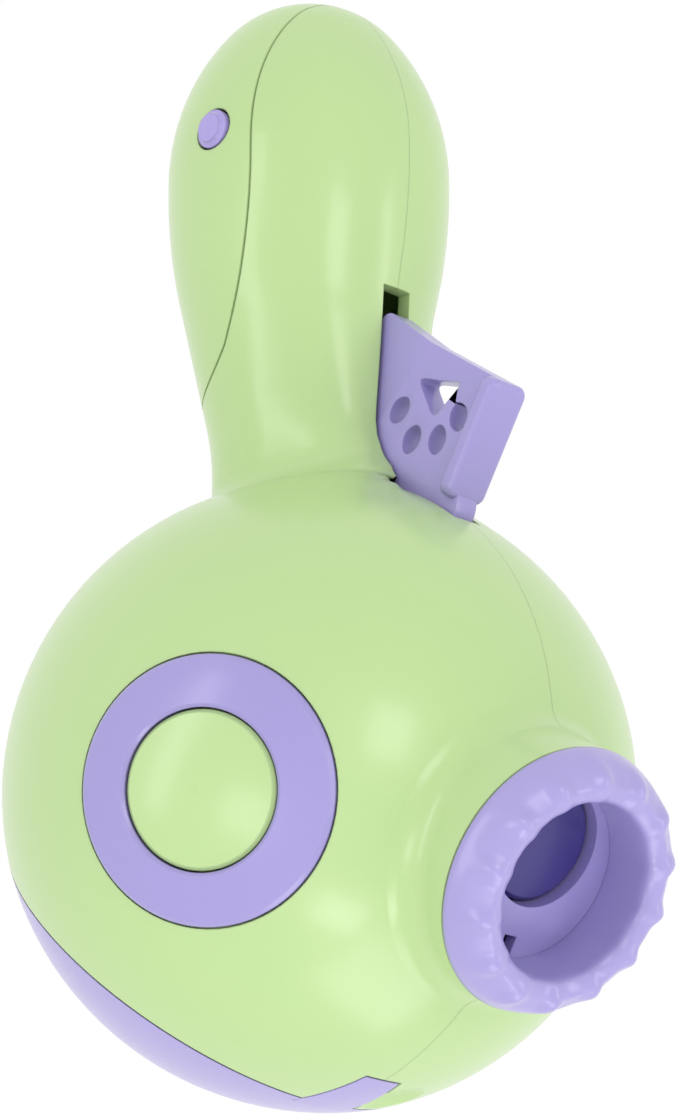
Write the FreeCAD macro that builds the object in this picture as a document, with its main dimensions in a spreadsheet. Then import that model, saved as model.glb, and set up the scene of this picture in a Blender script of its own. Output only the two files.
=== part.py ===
"""Pistol-shaped pet treat dispenser, as a parametric FreeCAD document.

Frame: millimetres, +X forward along the barrel, +Z up, +Y to the user's left.
The origin lies on the grip's axis, where the hand closes round it.

Three local frames carry the pieces:
  ball frame  - origin at the ball's centre, axes as above
  grip frame  - origin behind the ball's centre, -Z down the raked grip, +X out of the grip's front
  lid frame   - origin at the ball's centre, +Z out through the middle of the tilted lid
"""
import FreeCAD
import Part
import Sketcher
import math
import os

V = FreeCAD.Vector

SIZES = {
    # moulded body
    "ball_radius": 48.0,
    "wall": 2.4,
    "seam_gap": 0.3,
    "running_gap": 0.3,
    "pin_gap": 0.05,
    "slack": 60.0,
    # grip, measured along its own axis from the ball
    "rake": 31.5,
    "axis_back": 4.0,
    "neck_radius": 14.7,
    "neck_end": 49.0,
    "neck_curve": 42.0,
    "flare_start": 58.0,
    "flare_radius": 15.7,
    "flank_end": 79.5,
    "flank_radius": 20.4,
    "flank_curve": 92.0,
    "grip_widest": 99.0,
    "grip_radius": 22.3,
    "grip_tip": 30.0,
    "tip_radius": 18.0,
    "grip_centre": 95.0,
    "neck_fillet": 5.0,
    # seam of the grip cover, in the grip frame
    "seam_tip_front": 8.2,
    "seam_bend_at": 96.0,
    "seam_bend_front": 8.0,
    "seam_turn_at": 67.4,
    "seam_turn_back": 0.4,
    "seam_rear_at": 61.5,
    "seam_rear_back": 18.0,
    "seam_front_curve": 55.0,
    "seam_rear_curve": 18.0,
    "partition_wall": 1.5,
    "bulkhead_from_slot": 5.0,
    # nozzle
    "nozzle_drop": 6.4,
    "collar_radius": 20.0,
    "collar_front": 51.6,
    "collar_fillet": 5.5,
    "collar_bore": 16.2,
    "knob_back_radius": 20.3,
    "knob_front_radius": 18.5,
    "knob_length": 6.9,
    "knob_edge": 2.0,
    "knob_flank_curve": 30.0,
    "knob_ridge_radius": 17.0,
    "mouth_radius": 13.4,
    "mouth_lip": 1.2,
    "knob_hub_radius": 15.8,
    "lug_radius": 16.9,
    "lug_thickness": 1.0,
    "lug_from_flange": 1.4,
    "lug_groove": 1.6,
    "lug_count": 3.0,
    "lug_width": 8.0,
    "flute_count": 14.0,
    "flute_radius": 3.4,
    "flute_depth": 0.9,
    "flute_slope": 0.16,
    "flute_reach": 8.0,
    # launch tube and piston
    "tube_drop": 3.7,
    "tube_bore": 9.3,
    "tube_wall": 1.8,
    "tube_back": 14.0,
    "tube_end_wall": 2.0,
    "cradle_at": 17.0,
    "cradle_rib": 1.6,
    "tube_plate": 2.0,
    "plate_radius": 18.2,
    "plate_front": 48.5,
    "feed_at": 37.0,
    "feed_radius": 6.0,
    "chimney_top": 2.6,
    "plate_window_width": 2.4,
    "plate_window_height": 3.0,
    "plate_window_up": 10.2,
    "piston_front": 46.9,
    "piston_length": 18.4,
    "piston_skin": 1.6,
    "piston_crown": 2.4,
    "stem_radius": 3.0,
    "stem_head_radius": 5.0,
    "stem_head_front": 2.0,
    "stem_head_length": 4.0,
    "launch_wire": 1.2,
    "launch_coil": 5.4,
    "launch_pitch": 3.6,
    # trigger
    "blade_thickness": 4.2,
    "blade_foot": 69.6,
    "blade_heel_drop": 1.6,
    "blade_heel_back": 25.5,
    "blade_toe_front": 6.6,
    "pad_front": 5.4,
    "pad_thickness": 2.4,
    "pad_width": 7.8,
    "pad_top": 49.6,
    "slot_width": 5.7,
    "slot_end": 76.0,
    "slot_inside": 7.4,
    "slot_front": 7.5,
    "trigger_travel": 12.0,
    "paw_back": 6.9,
    "paw_down": 62.9,
    "paw_scale": 1.0,
    "toe_length": 4.7,
    "toe_width": 3.7,
    "carriage_top": 36.5,
    "carriage_height": 4.0,
    "carriage_front": 8.7,
    "carriage_back": 20.0,
    "runner_width": 10.0,
    "guide_thickness": 1.3,
    "arm_front": 4.0,
    "arm_back": 14.0,
    "arm_top": 18.4,
    "arm_width": 6.2,
    "cheek_slot_floor": 26.0,
    "trigger_wire": 0.6,
    "trigger_coil": 1.7,
    "trigger_pitch": 2.2,
    "spring_seat_back": 41.0,
    # sear
    "sear_thickness": 2.4,
    "sear_pivot_back": 9.0,
    "sear_pivot_drop": 21.0,
    "sear_eye": 2.6,
    "sear_pin_radius": 1.0,
    "sear_nose": 2.5,
    "sear_bite": 1.7,
    "sear_wire": 0.4,
    "sear_coil": 1.0,
    "sear_pitch": 0.9,
    "sear_spring_back": 1.5,
    "sear_shelf": 26.5,
    # lid
    "lid_tilt": 14.5,
    "lid_plane": 31.7,
    "lid_crown": 15.6,
    "tab_depth": 9.6,
    "tab_root": 10.4,
    "tab_end": 6.8,
    "tab_thickness": 1.4,
    "tab_bed": 1.7,
    "lid_skirt_radius": 30.4,
    "lid_skirt_wall": 1.6,
    "lid_skirt_depth": 1.6,
    "lid_hinge_out": 1.3,
    "lid_knuckle": 2.2,
    "lid_pin_radius": 0.9,
    "lid_knuckle_half": 5.0,
    "lid_hinge_half": 9.0,
    "notch_radius": 10.0,
    "notch_depth": 1.6,
    "notch_side": 8.3,
    "notch_height": 27.0,
    # hopper and seal
    "ledge_plane": 29.2,
    "ledge_thickness": 1.4,
    "hopper_flange": 1.4,
    "hopper_flange_radius": 34.4,
    "hopper_mouth": 30.8,
    "hopper_neck": 2.2,
    "hopper_wall": 1.4,
    "seal_height": 0.8,
    "seal_inner": 32.2,
    "seal_outer": 34.0,
    # eyes
    "eye_azimuth": 63.0,
    "eye_hole": 19.8,
    "eye_gap": 0.3,
    "eye_ring_inner": 11.8,
    "eye_proud": 0.6,
    "eye_seat": 42.3,
    "eye_seat_thickness": 2.0,
    "eye_seat_hole": 9.0,
    "eye_skin": 2.0,
    "eye_bevel": 0.5,
    "cap_gap": 0.3,
    "cap_flange": 1.6,
    "cup_wall": 2.0,
    # grip cover latches
    "latch_at": 101.6,
    "latch_front": 1.0,
    "button_radius": 3.1,
    "button_gap": 0.4,
    "button_proud": 1.0,
    "button_edge": 0.8,
    "button_flange": 3.9,
    "button_flange_thickness": 1.2,
    "button_travel": 2.2,
    "button_stem": 1.3,
    "cage_wall": 1.2,
    "cage_floor_at": 12.0,
    "cage_floor": 1.0,
    "latch_wire": 0.4,
    "latch_coil": 2.2,
    "latch_pitch": 1.15,
    "tongue_thickness": 1.8,
    "tongue_height": 7.0,
    # grip cover hinge
    "cover_hinge_at": 61.8,
    "cover_hinge_back": 17.0,
    "cover_knuckle": 1.6,
    "cover_pin_radius": 0.7,
    "cover_knuckle_half": 1.6,
    "cover_hinge_half": 4.0,
    # screws
    "post_radius": 3.2,
    "well_radius": 3.0,
    "well_wall": 1.2,
    "well_floor": 5.0,
    "screw_head_radius": 2.7,
    "screw_head": 1.8,
    "screw_shank": 1.4,
    "screw_length": 12.0,
}

POSTS_IN_BALL = ((-34.0, 10.0), (-34.0, -12.0), (18.0, -36.0))
POSTS_IN_GRIP = ((12.0, 87.0), (12.0, 112.0))

doc = FreeCAD.newDocument("TreatDispenser")


# ---------------------------------------------------------------- sizes

class Size:
    """A number together with the sheet expression that gives it."""

    def __init__(self, value, text):
        self.value = value
        self.text = text

    def __add__(self, other):
        other = size(other)
        return Size(self.value + other.value, "(%s + %s)" % (self.text, other.text))

    def __sub__(self, other):
        other = size(other)
        return Size(self.value - other.value, "(%s - %s)" % (self.text, other.text))

    def __mul__(self, other):
        other = size(other)
        return Size(self.value * other.value, "(%s * %s)" % (self.text, other.text))

    def __truediv__(self, other):
        other = size(other)
        return Size(self.value / other.value, "(%s / %s)" % (self.text, other.text))

    def __radd__(self, other):
        return size(other) + self

    def __rsub__(self, other):
        return size(other) - self

    def __rmul__(self, other):
        return size(other) * self

    def __rtruediv__(self, other):
        return size(other) / self

    def __neg__(self):
        return size(0) - self


def size(number):
    """Takes a plain number or a Size and gives a Size."""
    if isinstance(number, Size):
        return number
    return Size(float(number), "%r" % float(number))


def sine(angle):
    return Size(math.sin(math.radians(angle.value)), "sin(%s * 1 deg)" % angle.text)


def cosine(angle):
    return Size(math.cos(math.radians(angle.value)), "cos(%s * 1 deg)" % angle.text)


def root(number):
    return Size(math.sqrt(number.value), "sqrt(%s)" % number.text)


def leg(hypotenuse, other_leg):
    """The third side of a right triangle."""
    return root(hypotenuse * hypotenuse - other_leg * other_leg)


class Sheet:
    """The driving dimensions: one aliased cell each, read back as Size attributes."""

    def __init__(self, sizes):
        cells = doc.addObject("Spreadsheet::Sheet", "Sizes")
        for row, (alias, number) in enumerate(sizes.items(), start=1):
            cells.set("A%d" % row, alias)
            cells.set("B%d" % row, str(number))
            cells.setAlias("B%d" % row, alias)
        doc.recompute()
        for alias in sizes:
            setattr(self, alias, Size(float(getattr(cells, alias)), "Sizes." + alias))


S = Sheet(SIZES)


def bind(target, path, number):
    target.setExpression(path, size(number).text)


# ---------------------------------------------------------------- places

BALL_X = S.axis_back + sine(S.rake) * S.grip_centre
BALL_Z = cosine(S.rake) * S.grip_centre
GRIP_END = S.grip_widest + S.grip_tip


def turn(target, axis, angle):
    target.Placement.Rotation.Axis = axis
    bind(target, "Placement.Rotation.Angle", size(angle) * Size(1.0, "1 deg"))


def move(target, x, y, z):
    for name, number in (("x", x), ("y", y), ("z", z)):
        bind(target, "Placement.Base." + name, number)


def in_grip(target):
    """Lays an operand that was drawn in the grip frame into the ball frame."""
    turn(target, V(0, 1, 0), S.rake)
    move(target, -S.axis_back, 0, 0)
    return target


def in_lid(target):
    turn(target, V(0, 1, 0), -S.lid_tilt)
    return target


def in_eye(target, side):
    turn(target, V(0, 0, 1), S.eye_azimuth * side)
    return target


def from_ball(target):
    """Puts a finished piece, drawn in the ball frame, into the part's own frame."""
    move(target, BALL_X, 0, BALL_Z)
    return target


def from_grip(target):
    turn(target, V(0, 1, 0), S.rake)
    move(target, BALL_X - S.axis_back, 0, BALL_Z)
    return target


def from_lid(target):
    turn(target, V(0, 1, 0), -S.lid_tilt)
    move(target, BALL_X, 0, BALL_Z)
    return target


def from_eye(target, side):
    turn(target, V(0, 0, 1), S.eye_azimuth * side)
    move(target, BALL_X, 0, BALL_Z)
    return target


def grip_point(front, along):
    """Ball-frame x and z of a point given in the grip frame."""
    x = cosine(S.rake) * front - sine(S.rake) * along - S.axis_back
    z = -(cosine(S.rake) * along) - sine(S.rake) * front
    return x, z


def lid_point(x, z):
    """Ball-frame x and z of a point given in the lid frame."""
    return cosine(S.lid_tilt) * x - sine(S.lid_tilt) * z, sine(S.lid_tilt) * x + cosine(S.lid_tilt) * z


# ---------------------------------------------------------------- primitives

def sphere(name, radius, x=0, y=0, z=0):
    ball = doc.addObject("Part::Sphere", name)
    bind(ball, "Radius", radius)
    move(ball, x, y, z)
    return ball


AXIS_TURN = {"x": (V(0, 1, 0), 90), "y": (V(1, 0, 0), -90), "z": (V(0, 0, 1), 0)}


def cylinder(name, radius, length, x, y, z, along):
    """A cylinder that starts at x, y, z and runs in the positive direction of an axis."""
    rod = doc.addObject("Part::Cylinder", name)
    bind(rod, "Radius", radius)
    bind(rod, "Height", length)
    axis, angle = AXIS_TURN[along]
    rod.Placement.Rotation = FreeCAD.Rotation(axis, angle)
    move(rod, x, y, z)
    return rod


def box(name, x, y, z):
    """A box between two bounds on each axis."""
    block = doc.addObject("Part::Box", name)
    for path, (low, high) in (("Length", x), ("Width", y), ("Height", z)):
        bind(block, path, size(high) - low)
    move(block, x[0], y[0], z[0])
    return block


def fuse(name, *shapes):
    joined = doc.addObject("Part::MultiFuse", name)
    joined.Shapes = list(shapes)
    joined.Refine = False
    return joined


def cut(name, base, *tools):
    result = doc.addObject("Part::Cut", name)
    result.Base = base
    result.Tool = tools[0] if len(tools) == 1 else fuse(name + "_tools", *tools)
    return result


def common(name, *shapes):
    overlap = doc.addObject("Part::MultiCommon", name)
    overlap.Shapes = list(shapes)
    return overlap


# ---------------------------------------------------------------- sketches

def arc_middle(start, end, radius, side):
    """Middle of the short arc between two points, bulging to the left (1) or right (-1) of the way."""
    chord = end - start
    half = chord.Length / 2
    rise = radius - math.sqrt(max(radius * radius - half * half, 0.0))
    left = V(-chord.y, chord.x, 0).normalize()
    return (start + end) * 0.5 + left * (rise * side)


def add_edge(sketch, start, step):
    """Adds one line or arc and gives its index and which of its ends is the far one."""
    end = V(step[0].value, step[1].value, 0)
    if len(step) == 2:
        curve = Part.LineSegment(start, end)
    else:
        curve = Part.Arc(start, arc_middle(start, end, step[2].value, step[3]), end)
    index = sketch.addGeometry(curve, False)
    near_first = sketch.getPoint(index, 1).distanceToPoint(start) < sketch.getPoint(index, 2).distanceToPoint(start)
    return index, (1, 2) if near_first else (2, 1), end


def pin_down(sketch, index, point, along, number):
    """Holds a point at a sheet-given distance from the sketch's origin, along one axis."""
    number = size(number)
    if number.value == 0:
        axis = -2 if along == "X" else -1
        sketch.addConstraint(Sketcher.Constraint("PointOnObject", index, point, axis))
        return
    held = sketch.addConstraint(Sketcher.Constraint("Distance" + along, -1, 1, index, point, number.value))
    bind(sketch, "Constraints[%d]" % held, number)


def draw_circle(sketch, x, y, radius):
    x, y, radius = size(x), size(y), size(radius)
    index = sketch.addGeometry(Part.Circle(V(x.value, y.value, 0), V(0, 0, 1), radius.value), False)
    pin_down(sketch, index, 3, "X", x)
    pin_down(sketch, index, 3, "Y", y)
    held = sketch.addConstraint(Sketcher.Constraint("Radius", index, radius.value))
    bind(sketch, "Constraints[%d]" % held, radius)


def draw(sketch, *outlines):
    """Draws closed outlines. Each corner is (x, y), with (radius, side) added where an arc leads to it.

    An outline that is ("circle", x, y, radius) is a full circle.
    """
    for outline in outlines:
        if outline[0] == "circle":
            draw_circle(sketch, *outline[1:])
            continue
        steps = [tuple([size(c) for c in step[:3]]) + tuple(step[3:]) for step in outline]
        start = V(steps[-1][0].value, steps[-1][1].value, 0)
        edges = []
        for step in steps:
            index, ends, start = add_edge(sketch, start, step)
            edges.append((index, ends))
        for (index, ends), (following, next_ends) in zip(edges, edges[1:] + edges[:1]):
            sketch.addConstraint(Sketcher.Constraint("Coincident", index, ends[1], following, next_ends[0]))
        for (index, ends), step in zip(edges, steps):
            pin_down(sketch, index, ends[1], "X", step[0])
            pin_down(sketch, index, ends[1], "Y", step[1])
            if len(step) > 2:
                held = sketch.addConstraint(Sketcher.Constraint("Radius", index, step[2].value))
                bind(sketch, "Constraints[%d]" % held, step[2])
    return sketch


def loose_sketch(name, rotation, *outlines):
    """A sketch outside any body, turned into its plane."""
    sketch = doc.addObject("Sketcher::SketchObject", name)
    sketch.Placement.Rotation = rotation
    return draw(sketch, *outlines)


UPRIGHT = FreeCAD.Rotation(V(1, 0, 0), 90)
FACING = FreeCAD.Rotation(V(1, 1, 1), 120)


def prism(name, outline, half_width):
    """An outline in the XZ plane, thickened equally to both sides."""
    block = doc.addObject("Part::Extrusion", name)
    block.Base = loose_sketch(name + "_outline", UPRIGHT, outline)
    block.DirMode = "Custom"
    block.Dir = V(0, 1, 0)
    block.Solid = True
    bind(block, "LengthFwd", half_width)
    bind(block, "LengthRev", half_width)
    return block


def turned(name, outline):
    """An outline in the XZ plane, turned round the Z axis."""
    form = doc.addObject("Part::Revolution", name)
    form.Source = loose_sketch(name + "_outline", UPRIGHT, outline)
    form.Axis = V(0, 0, 1)
    form.Angle = 360
    form.Solid = True
    return form


# ---------------------------------------------------------------- PartDesign bodies

def new_body(name):
    body = doc.addObject("PartDesign::Body", name)
    body.Label = name
    return body


def body_sketch(body, name, role, *outlines):
    sketch = body.newObject("Sketcher::SketchObject", name)
    plane = [item for item in body.Origin.OriginFeatures if item.Role == role][0]
    sketch.AttachmentSupport = [(plane, "")]
    sketch.MapMode = "FlatFace"
    doc.recompute()
    return draw(sketch, *outlines)


def revolve(body, name, outline, axis="H_Axis"):
    sketch = body_sketch(body, name + "_outline", "XZ_Plane", outline)
    feature = body.newObject("PartDesign::Revolution", name)
    feature.Profile = sketch
    feature.ReferenceAxis = (sketch, [axis])
    feature.Angle = 360
    doc.recompute()
    return feature


def pad(body, name, role, length, *outlines):
    """Pads outlines equally to both sides of a plane, to a full length."""
    feature = body.newObject("PartDesign::Pad", name)
    feature.Profile = body_sketch(body, name + "_outline", role, *outlines)
    bind(feature, "Length", length)
    feature.Midplane = True
    doc.recompute()
    return feature


def pocket(body, name, role, length, *outlines):
    """Cuts outlines equally to both sides of a plane, to a full length."""
    feature = body.newObject("PartDesign::Pocket", name)
    feature.Profile = body_sketch(body, name + "_outline", role, *outlines)
    bind(feature, "Length", length)
    feature.Midplane = True
    doc.recompute()
    return feature


def round_edges(body, name, radius, picks):
    """Fillets the edges of the body's last feature that a test picks."""
    base = body.Tip
    names = ["Edge%d" % (n + 1) for n, edge in enumerate(base.Shape.Edges) if picks(edge)]
    feature = body.newObject("PartDesign::Fillet", name)
    feature.Base = (base, names)
    bind(feature, "Radius", radius)
    doc.recompute()
    return feature


def rectangle(x, y):
    return ((x[0], y[0]), (x[1], y[0]), (x[1], y[1]), (x[0], y[1]))


# ---------------------------------------------------------------- outer form of the moulded body

def grip_form(name, inset):
    """The plump grip as a turned form, shrunk everywhere by an inset."""
    reach = S.grip_tip - S.tip_radius
    belly = (reach * reach + S.grip_radius * S.grip_radius - S.tip_radius * S.tip_radius) / (
        2 * (S.grip_radius - S.tip_radius))
    slant = belly - S.tip_radius
    touch_r = (S.tip_radius - inset) * ((belly - S.grip_radius) / slant)
    touch_s = GRIP_END - S.tip_radius + (S.tip_radius - inset) * (reach / slant)
    start = S.neck_end * 0.4
    return turned(name, (
        (0, -start),
        (S.neck_radius - inset, -start),
        (S.neck_radius - inset, -S.neck_end),
        (S.flare_radius - inset, -S.flare_start, S.neck_curve + inset, -1),
        (S.flank_radius - inset, -S.flank_end),
        (S.grip_radius - inset, -S.grip_widest, S.flank_curve - inset, 1),
        (touch_r, -touch_s, belly - inset, 1),
        (0, -(GRIP_END - inset), S.tip_radius - inset, 1),
    ))


def edges_near(shape, centre_distance, test):
    """Edge numbers whose whole length lies at a distance from the origin and passes a test."""
    numbers = []
    for number, edge in enumerate(shape.Edges, start=1):
        if edge.Degenerated:
            continue
        points = edge.discretize(9)
        if all(abs(p.Length - centre_distance) < 0.05 and test(p) for p in points):
            numbers.append(number)
    return numbers


def outer_skin():
    """Ball, grip and nozzle collar in one, with their concave fillets."""
    ball = sphere("ball_form", S.ball_radius)
    grip = in_grip(grip_form("grip_form", size(0)))
    collar = cylinder("collar_form", S.collar_radius, S.collar_front, 0, 0, -S.nozzle_drop, "x")
    joined = fuse("body_form", ball, grip, collar)
    doc.recompute()
    at_collar = edges_near(joined.Shape, S.ball_radius.value, lambda p: p.x > S.ball_radius.value * 0.5)
    at_neck = edges_near(joined.Shape, S.ball_radius.value, lambda p: p.z < -S.ball_radius.value * 0.5)
    blended = doc.addObject("Part::Fillet", "body_form_blended")
    blended.Base = joined
    blended.Edges = ([(n, S.collar_fillet.value, S.collar_fillet.value) for n in at_collar]
                     + [(n, S.neck_fillet.value, S.neck_fillet.value) for n in at_neck])
    return blended


# ---------------------------------------------------------------- places and tools that pieces share

TUBE_Z = -(S.nozzle_drop + S.tube_drop)
TUBE_RADIUS = S.tube_bore + S.tube_wall
PLATE_BACK = S.plate_front - S.tube_plate
CARRIAGE_Z = -S.carriage_top
CARRIAGE_BOTTOM = -(S.carriage_top + S.carriage_height)
LID_OUT = S.lid_plane - S.seam_gap
LID_BASE = leg(S.ball_radius, S.lid_plane)
LID_ROUND = (LID_BASE * LID_BASE + S.lid_crown * S.lid_crown) / (2 * S.lid_crown)
LID_HINGE_X = -(LID_BASE + S.lid_hinge_out)
EVERYWHERE = (-S.slack * 2, S.slack * 2)
LEFT = 1
RIGHT = -1
SIDES = (("left", LEFT), ("right", RIGHT))


def both_ways(side, near, far):
    """Bounds between two distances to one side of the middle."""
    return (near, far) if side == LEFT else (-size(far), -size(near))


def seam_prism(name, shift):
    """Everything behind the grip cover's seam, with the seam moved outwards by a shift."""
    far = S.slack
    bottom = -(GRIP_END + S.wall)
    return in_grip(prism(name, (
        (-far, bottom),
        (S.seam_tip_front + shift, bottom),
        (S.seam_bend_front + shift, -S.seam_bend_at),
        (-S.seam_turn_back + shift, -S.seam_turn_at + shift, S.seam_front_curve, -1),
        (-S.seam_rear_back + shift, -S.seam_rear_at + shift, S.seam_rear_curve, -1),
        (-far, -S.seam_rear_at + shift),
    ), S.slack))


def grip_slab(name, front, along, across=EVERYWHERE):
    """A slab between two bounds to the grip's front, two along it and two across it."""
    slab = doc.addObject("Part::Compound", name)
    slab.Links = [box(name + "_block", front, across, (-size(along[1]), -size(along[0])))]
    return in_grip(slab)


def grip_rod(name, radius, front, along, across):
    """A rod from side to side at a place in the grip, between two bounds across it."""
    x, z = grip_point(front, along)
    return cylinder(name, radius, size(across[1]) - across[0], x, across[0], z, "y")


def eye_rod(name, side, radius, start, end):
    """A rod on an eye's axis, between two distances from the ball's centre."""
    rod = doc.addObject("Part::Cylinder", name)
    bind(rod, "Radius", radius)
    bind(rod, "Height", size(end) - start)
    across, ahead = sine(S.eye_azimuth) * side, cosine(S.eye_azimuth)
    bind(rod, "Placement.Rotation.Axis.x", -across)
    bind(rod, "Placement.Rotation.Axis.y", ahead)
    bind(rod, "Placement.Rotation.Axis.z", 0)
    bind(rod, "Placement.Rotation.Angle", Size(90.0, "90 deg"))
    move(rod, ahead * start, across * start, 0)
    return rod


def lug_blocks(name, width, start, end, first_angle):
    """Radial blocks set evenly round the nozzle's axis."""
    blocks = []
    count = int(S.lug_count.value)
    for n in range(count):
        block = box("%s_%d" % (name, n + 1), (start, end), (0, width), (0, S.collar_radius))
        angle = size(first_angle) + size(360.0) * n / S.lug_count
        turn(block, V(1, 0, 0), angle)
        move(block, start, -(cosine(angle) * width / 2), -S.nozzle_drop - sine(angle) * width / 2)
        blocks.append(block)
    return fuse(name, *blocks)


def lid_hinge_rod(name, radius, across):
    """A rod on the lid's hinge axis, in the lid frame."""
    return cylinder(name, radius, size(across[1]) - across[0], LID_HINGE_X, across[0], S.lid_plane, "y")


def tab_outline(margin):
    """The lid tab's outline on the YZ plane of the lid frame, widened by a margin."""
    root = S.tab_root / 2 + margin
    tip = S.tab_end / 2 + margin
    return (
        (-root, S.lid_plane + S.tab_thickness),
        (-root, S.lid_plane),
        (-tip, S.lid_plane - S.tab_depth - margin),
        (tip, S.lid_plane - S.tab_depth - margin),
        (root, S.lid_plane),
        (root, S.lid_plane + S.tab_thickness),
    )


def tab_prism(name, margin):
    block = doc.addObject("Part::Extrusion", name)
    block.Base = loose_sketch(name + "_outline", FACING, tab_outline(margin))
    block.DirMode = "Custom"
    block.Dir = V(1, 0, 0)
    block.Solid = True
    bind(block, "LengthFwd", S.slack)
    return block


def coil(name, wire, radius, pitch, length):
    """An open coil spring that stands on the XY plane, with half a flat turn at each end."""
    steps = 12
    thickness, mean, height = wire.value, radius.value, length.value
    rising = max(round((height - thickness) / pitch.value * steps), steps)
    path = []
    for n in range(rising + steps + 1):
        angle = 2 * math.pi * n / steps
        share = min(max(n - steps / 2, 0) / rising, 1.0)
        path.append(V(mean * math.cos(angle), mean * math.sin(angle),
                      thickness / 2 + (height - thickness) * share))
    spine = doc.addObject("Part::Polygon", name + "_path")
    spine.Nodes = path
    section = doc.addObject("Part::RegularPolygon", name + "_section")
    section.Polygon = 6
    bind(section, "Circumradius", wire / 2)
    section.Placement = FreeCAD.Placement(path[0], FreeCAD.Rotation(V(0, 0, 1), path[1] - path[0]))
    doc.recompute()
    spring = doc.addObject("Part::Sweep", name)
    spring.Sections = [section]
    spring.Spine = (spine, ["Edge%d" % (n + 1) for n in range(len(path) - 1)])
    spring.Solid = True
    spring.Frenet = False
    spring.Transition = "Right corner"
    return spring


# ---------------------------------------------------------------- moulded halves

def post_places():
    places = [(size(x), size(z)) for x, z in POSTS_IN_BALL]
    return places + [grip_point(front, along) for front, along in POSTS_IN_GRIP]


def partition():
    """The wall that follows the seam and shuts the mechanism off from the grip's compartment."""
    plate_end = S.slot_end + S.bulkhead_from_slot
    behind = seam_prism("partition_front", S.seam_gap + S.partition_wall)
    below = grip_slab("partition_end", EVERYWHERE, (plate_end, S.slack * 3))
    return [
        cut("partition", behind, below),
        grip_slab("bulkhead", (0, S.slack), (plate_end - S.partition_wall, plate_end)),
    ]


def guide_ribs():
    """Ribs above and below the trigger's runners, to both sides."""
    reach = (-(S.carriage_back + S.trigger_travel), S.carriage_front)
    low = CARRIAGE_BOTTOM - S.running_gap
    high = CARRIAGE_Z + S.running_gap
    ribs = []
    for word, side in SIDES:
        under = both_ways(side, S.slot_width / 2, S.slack)
        over = both_ways(side, S.arm_width / 2 + S.running_gap, S.slack)
        ribs.append(box("guide_under_" + word, reach, under, (low - S.guide_thickness, low)))
        ribs.append(box("guide_over_" + word, reach, over, (high, high + S.guide_thickness)))
    return ribs


def ledge():
    """The ring that carries the hopper's flange."""
    low = S.ledge_plane - S.ledge_thickness
    disc = cylinder("ledge_disc", S.ball_radius, S.ledge_thickness, 0, 0, low, "z")
    hole = cylinder("ledge_hole", S.hopper_mouth + S.hopper_wall + S.seam_gap, S.slack, 0, 0, 0, "z")
    return in_lid(cut("ledge", disc, hole))


def cradle():
    """The rib that the back of the launch tube rests in."""
    rib = box("cradle_rib", (S.cradle_at, S.cradle_at + S.cradle_rib), EVERYWHERE, (-S.slack, TUBE_Z - S.tube_wall * 2))
    seat = cylinder("cradle_seat", TUBE_RADIUS, S.slack, 0, 0, TUBE_Z, "x")
    return cut("cradle", rib, seat)


def screw_posts():
    posts = []
    for n, (x, z) in enumerate(post_places(), start=1):
        posts.append(cylinder("post_%d" % n, S.post_radius, S.slack * 2, x, -S.slack, z, "y"))
        posts.append(cylinder("well_wall_%d" % n, S.well_radius + S.well_wall,
                              S.slack - S.well_floor + S.post_radius / 2, x, -S.slack, z, "y"))
    return posts


def room():
    """The air inside the halves, with their ribs, posts, ledge, cups and partition left standing."""
    hollow = fuse("hollow",
                  sphere("ball_hollow", S.ball_radius - S.wall),
                  in_grip(grip_form("grip_hollow", S.wall)))
    seat_back = S.eye_seat - S.eye_seat_thickness
    cups = [eye_rod("eye_cup_" + word, side, S.eye_hole + S.cup_wall, seat_back, S.slack)
            for word, side in SIDES]
    spring_seat = box("spring_seat", (-(S.spring_seat_back + 1.5), -S.spring_seat_back), EVERYWHERE,
                      (CARRIAGE_BOTTOM - S.wall, CARRIAGE_Z + S.wall))
    standing = partition() + guide_ribs() + [ledge(), cradle(), spring_seat] + screw_posts() + cups
    return cut("room", hollow, *standing)


def trigger_slot():
    """The slot in the grip's front that runs up into the ball, as a through prism."""
    outer_x, outer_z = grip_point(S.grip_radius, S.slot_end)
    inner_x, inner_z = grip_point(S.slot_inside, S.slot_end)
    top = CARRIAGE_BOTTOM - S.running_gap - S.guide_thickness - S.running_gap
    return prism("trigger_slot", (
        (-S.carriage_back, top),
        (inner_x, inner_z),
        (outer_x, outer_z),
        (S.slot_front, outer_z),
        (S.slot_front, top),
    ), S.slot_width / 2)


def nozzle_bores():
    """The steps inside the collar, from the back: tube room, plate groove, hub bore, lug groove, lug entries."""
    z = -S.nozzle_drop
    knob_back = S.collar_front + S.running_gap
    groove_back = knob_back - S.lug_from_flange - S.lug_thickness - S.running_gap
    entries = common("lug_entries",
                     cylinder("entry_disc", S.lug_radius + S.running_gap, S.slack, groove_back, 0, z, "x"),
                     lug_blocks("entry_blocks", S.lug_width + 2 * S.running_gap, groove_back, S.slack, 45.0))
    return [
        cylinder("tube_room", S.plate_radius - 3.2, PLATE_BACK, 0, 0, z, "x"),
        cylinder("plate_groove", S.plate_radius + S.pin_gap, S.tube_plate, PLATE_BACK, 0, z, "x"),
        cylinder("hub_bore", S.collar_bore, S.slack, S.plate_front, 0, z, "x"),
        cylinder("lug_groove", S.lug_radius + S.running_gap, S.lug_groove, groove_back, 0, z, "x"),
        entries,
    ]


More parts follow.
